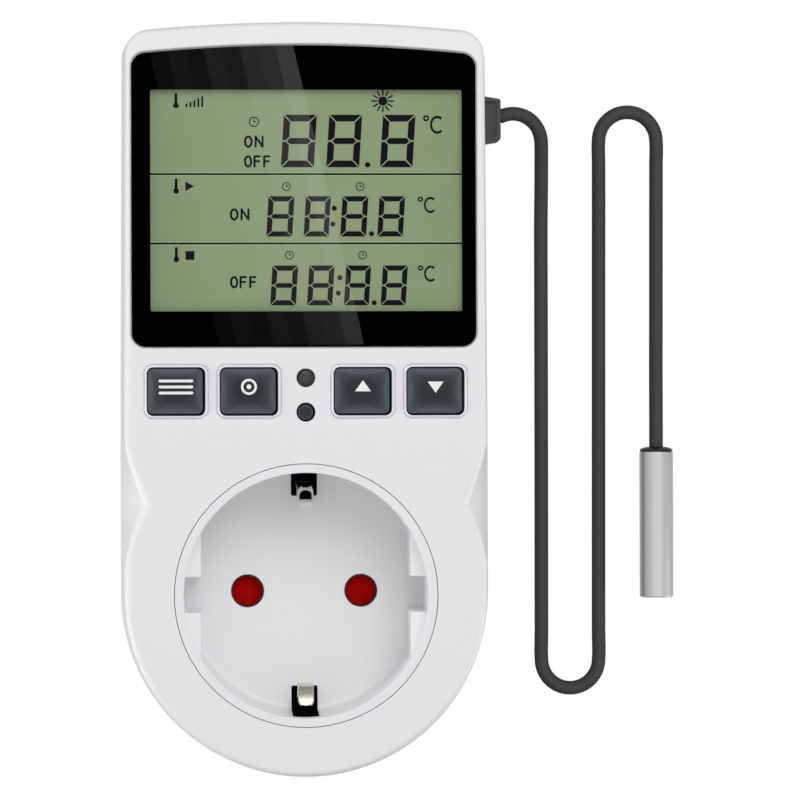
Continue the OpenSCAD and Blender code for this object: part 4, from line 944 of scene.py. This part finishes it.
def clip(side, shift):
    """One strip: side is 1 at the top and -1 at the bottom, shift moves its tip outward."""
    knots = [(17.8, 29.35), (17.8, 34), (17.75, 38), (17.2, 40.5), (16.1, 43), (15.1, 45), (14.62, 46.2),
             (14.85, 47.3), (15.6, 48.5), (16.7, 49.7), (17.75, 50.6)]
    line = smooth_line([(y + shift * max(0, z - 38) / 12.6, z) for y, z in knots])
    left = [0.0]
    for a, b in zip(line[::-1], line[-2::-1]):
        left.append(left[-1] + (a - b).length)
    c = corner_cut
    section = ((-1, -1, c, 1), (1, -1, c, 1), (1, -1, 0, .6), (1, 1, 0, .6),
               (1, 1, c, 1), (-1, 1, c, 1), (-1, 1, 0, .6), (-1, -1, 0, .6))
    rings = []
    for k, p in enumerate(line):
        ahead = (line[min(len(line) - 1, k + 1)] - line[max(0, k - 1)]).normalized()
        out = Vector((ahead.y, -ahead.x)) * clip_half_t
        to_end = left[len(line) - 1 - k]
        w = clip_half_w
        if to_end <= tip_r:
            w = 0.3 + math.sqrt(max(0, 1 - (1 - to_end / tip_r) ** 2))
        ring = [(sx * (w - inner), side * (p.x + s * out.x * q), p.y + s * out.y * q)
                for sx, s, inner, q in section]
        rings.append(ring if side > 0 else ring[::-1])
    return solid(rings)


arch = [(x, 16.3 + 0.8 * y) for x, y in arc(0, 0, 1, 0, 180, 15)]
loop = cut(clip(1, 0), solid([flat([(1.0, 15.55)] + arch + [(-1.0, 15.55)], z) for z in (47.2, 53)]))
for name, mesh in (("earth_clip_top", loop), ("earth_clip_bottom", clip(-1, 0.65))):
    show(name + "_strip", mesh, spring_strip, [name], name)

# %% [markdown]
# ## Strain relief, probe and its seal
# The lead passes the wall in a tapered rubber block with a sunk panel. The probe is a
# drawn steel sleeve with a closed round tip, and black epoxy fills its mouth and reaches
# over the rim. Sleeve and epoxy are round bodies that lie down. They are spun upright
# and then turned, which keeps their profiles as easy to read as those of the socket.

# %% Strain relief
gland_y, gland_z = 79.8, 26


def gland():
    steps = ((28.6, 4.1, 0.5), (29.9, 4.1, 0.5), (33.6, 3.55, 0.45), (33.85, 3.4, 0.35), (33.93, 3.2, 0.3))
    rings = [[(x, gland_y + a, gland_z + b) for a, b in rounded(0, 0, 2 * half, 2 * half, r, 5)]
             for x, half, r in steps]
    panel = block(31.9, gland_y, 2.7, 6.1, 0.4, [(29.2, -0.25), (29.35, 0), (31, 0)])
    return cut(solid(rings), panel)


show("sensor_gland_block", gland(), tpe_grey, ["sensor_gland"])

# %% Probe, seal and the cord's facts
probe_x, probe_z = 61.48, 19.9


def along_y(profile):
    """A turned piece that lies along the probe's axis."""
    mesh = spun(profile, 64)
    mesh.transform(Matrix(((1, 0, 0, probe_x * MM), (0, 0, 1, 0), (0, -1, 0, probe_z * MM), (0, 0, 0, 1))))
    return mesh


tube = [(0, -2.25)] + arc(2.6, -1.95, 0.3, -90, 0)
tube += [(2.9, 22.75), (2.82, 22.9), (2.6, 22.9), (2.6, -1.5), (0, -1.5)]
probe = show("probe_sleeve", along_y(tube), steel_drawn, ["probe_tube"])
epoxy = [(0, 20.9), (2.58, 20.9), (2.58, 22.92), (2.84, 22.95), (2.84, 23.25), (2.6, 23.5), (2.0, 23.7),
         (1.3, 23.82), (0, 23.85)]
seal = show("probe_seal", along_y(epoxy), epoxy_black, ["probe_potting"])

# %% [markdown]
# ## Finishes of the parts that keep their shape
# Everything behind the face is shown as it was constructed. New meshes would add little
# there, because no opening shows more than a corner of it. One table names the finish of
# each, from the real material of such a part: nickel on the pins, green resist on the
# boards, ochre dip on the film capacitor and so on.

# %% Finishes of the kept parts
kept = {
    abs_white: ("plug_insert", "shutter_carrier", "lcd_holder"),
    pa_red: ("shutter",),
    nickel: ("line_pin", "neutral_pin", "line_contact", "neutral_contact"),
    spring_strip: ("earth_strap",),
    can_steel: ("backup_cell", "shutter_spring"),
    zinc: ("case_screws", "cup_screws", "display_board_screws", "power_board_screws"),
    fr4: ("display_board", "power_board"),
    moulded_black: ("microcontroller", "relay", "bridge_rectifier", "tact_switches", "board_link",
                    "sensor_connector"),
    film_yellow: ("dropper_capacitor", "varistor"),
    sleeve_dark: ("smoothing_capacitor",),
    silicone: ("lcd_zebra_strips", "mode_plunger", "set_plunger", "up_plunger", "down_plunger",
               "reset_plunger"),
    epoxy_black: ("thermistor",),
    pc_white: ("fuse",),
    pvc_brown: ("line_wire", "load_wire"),
    pvc_blue: ("neutral_wire",),
    pvc_grey: ("inner_lead",),
}
for mat, names in kept.items():
    for name in names:
        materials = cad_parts[name].data.materials
        materials.clear()
        materials.append(mat)
print(sum(len(names) for names in kept.values()), "parts keep their shape")

# %% [markdown]
# ## Light and room
# Such a picture is lit by soft boxes in a pale room. A plain white world would light
# it too, but without shape. One soft lamp stands beyond the display end, so the face is
# a little brighter there and the socket's upper wall shades its floor. A faint one over
# the face fills that shade, and two low ones touch the sides. No lamp is mirrored: that
# is left to the cards of the next step. The room is white to the camera, pale and greyer
# toward the horizon to mirrors and metal, and it lights the object at less than that.

# %% Lamps
def lamp(name, place, aim, size, power):
    """A round soft lamp, which mirrors don't show."""
    light = bpy.data.lights.new(name, "AREA")
    light.shape = "DISK"
    light.size = size
    light.energy = power
    obj = bpy.data.objects.new(name, light)
    obj.location = place
    obj.rotation_euler = (Vector(aim) - Vector(place)).to_track_quat("-Z", "Y").to_euler()
    obj.visible_glossy = False
    scene.collection.objects.link(obj)


lamp("key_lamp", (0.1, 0.25, 0.42), (0, 0.03, 0.05), 0.3, 0.64)
lamp("front_fill", (-0.05, 0.0, 0.5), (0, 0.03, 0.05), 0.3, 0.06)
lamp("left_edge_lamp", (-0.42, -0.06, 0.13), (0, 0.03, 0.04), 0.2, 0.92)
lamp("right_edge_lamp", (0.42, -0.09, 0.12), (0, 0.03, 0.04), 0.2, 0.5)
print(len(bpy.data.lights), "lamps")

# %% The room
world = bpy.data.worlds.new("white_room")
scene.world = world
world.use_nodes = True
tree = world.node_tree
sky = node(tree, "TexCoord", {})
split = node(tree, "SeparateXYZ", {"Vector": sky.outputs["Generated"]})
rise = node(tree, "MapRange", {"Value": split.outputs["Z"], "From Min": -1})


def sky_tones(stops):
    """A background whose grey goes through stops, from straight down (0) to straight up (1)."""
    tones = node(tree, "ValToRGB", {"Fac": rise.outputs["Result"]})
    ends = tones.color_ramp.elements
    for place, grey in stops:
        stop = ends[0] if place == 0 else ends[-1] if place == 1 else ends.new(place)
        stop.position = place
        stop.color = (grey, grey, grey, 1)
    return node(tree, "Background", {"Color": tones.outputs["Color"]}).outputs["Background"]


room_light = sky_tones([(0, 0.05), (0.5, 0.32), (1, 0.62)])
mirrored = sky_tones([(0, 0.35), (0.1, 0.5), (0.3, 0.5), (0.45, 0.36), (0.7, 0.4), (0.85, 0.56), (1, 1.0)])
seen = node(tree, tree.nodes["Background"], {"Color": linear("#FFFFFF"), "Strength": 1.0})
path = node(tree, "LightPath", {})
lit = node(tree, "MixShader", {"Fac": path.outputs["Is Glossy Ray"], 1: room_light, 2: mirrored})
straight = node(tree, "Math", {0: path.outputs["Is Camera Ray"], 1: path.outputs["Is Transmission Ray"]},
                operation="MAXIMUM")
choose = node(tree, "MixShader", {"Fac": straight.outputs["Value"], 1: lit.outputs["Shader"],
                                  2: seen.outputs["Background"]})
node(tree, tree.nodes["World Output"], {"Surface": choose.outputs["Shader"]})
print(len(tree.nodes), "nodes in the room")

# %% [markdown]
# ## What the gloss mirrors
# A flat glossy window shows what hangs behind the camera. A dark card keeps it black,
# and a paler card with a slanted edge, fading in steps to the left, draws the broad
# band of gloss. An upright card beyond the display end puts a soft line on the keys' far
# edges, and two bright ones, low at the socket end, draw the line along the waist. They
# could be lamps, but only mirroring rays see a card, so none of them lights or shades.

# %% A card
def card(name, corners, strengths):
    """A flat card with one strip of light for each strength, from left to right."""
    a, b, c, d = [Vector(corner) * MM for corner in corners]
    count = len(strengths)
    verts = []
    for i in range(count + 1):
        verts += [a.lerp(b, i / count), d.lerp(c, i / count)]
    mesh = bpy.data.meshes.new(name)
    mesh.from_pydata(verts, [], [[2 * i, 2 * i + 2, 2 * i + 3, 2 * i + 1] for i in range(count)])
    for i, power in enumerate(strengths):
        mat = bpy.data.materials.new(f"{name}_{i}")
        mat.use_nodes = True
        tree = mat.node_tree
        spot = node(tree, "TexCoord", {})
        part = node(tree, "SeparateXYZ", {"Vector": spot.outputs["Object"]})
        fade = node(tree, "MapRange", {"Value": part.outputs["Y"], "From Min": a.y, "From Max": c.y + 1e-4,
                                       "To Min": 0.8 * power, "To Max": 1.3 * power})
        node(tree, tree.nodes["Principled BSDF"],
             {"Base Color": linear("#000000"), "Specular IOR Level": 0,
              "Emission Color": linear("#FFFFFF"), "Emission Strength": fade.outputs["Result"]})
        mesh.materials.append(mat)
        mesh.polygons[i].material_index = i
    obj = bpy.data.objects.new(name, mesh)
    scene.collection.objects.link(obj)
    obj.visible_camera = obj.visible_diffuse = obj.visible_transmission = False
    obj.visible_volume_scatter = obj.visible_shadow = False
    print(name, "with", count, "strips")


# %% Hang the cards
def level(z, *places):
    return [(x, y, z) for x, y in places]


card("dark_card", level(1000, (-150, 20), (150, 20), (150, 205), (-150, 205)), [0.0])
card("pale_card", level(900, (-16, 58.3), (41.7, 58.3), (13.4, 178.4), (-44.3, 178.4)),
     [0.1, 0.2, 0.15, 0.32, 0.25, 0.5, 0.6, 1.0])
card("far_card", [(-350, 500, 120), (350, 500, 120), (350, 460, 420), (-350, 460, 420)], [1.6])
for name, s, power in (("near_card_left", -1, 9), ("near_card_right", 1, 6)):
    near = [(s * 490, -100, -20), (s * 455, -205, -20), (s * 455, -205, 150), (s * 490, -100, 150)]
    card(name, near, [power])
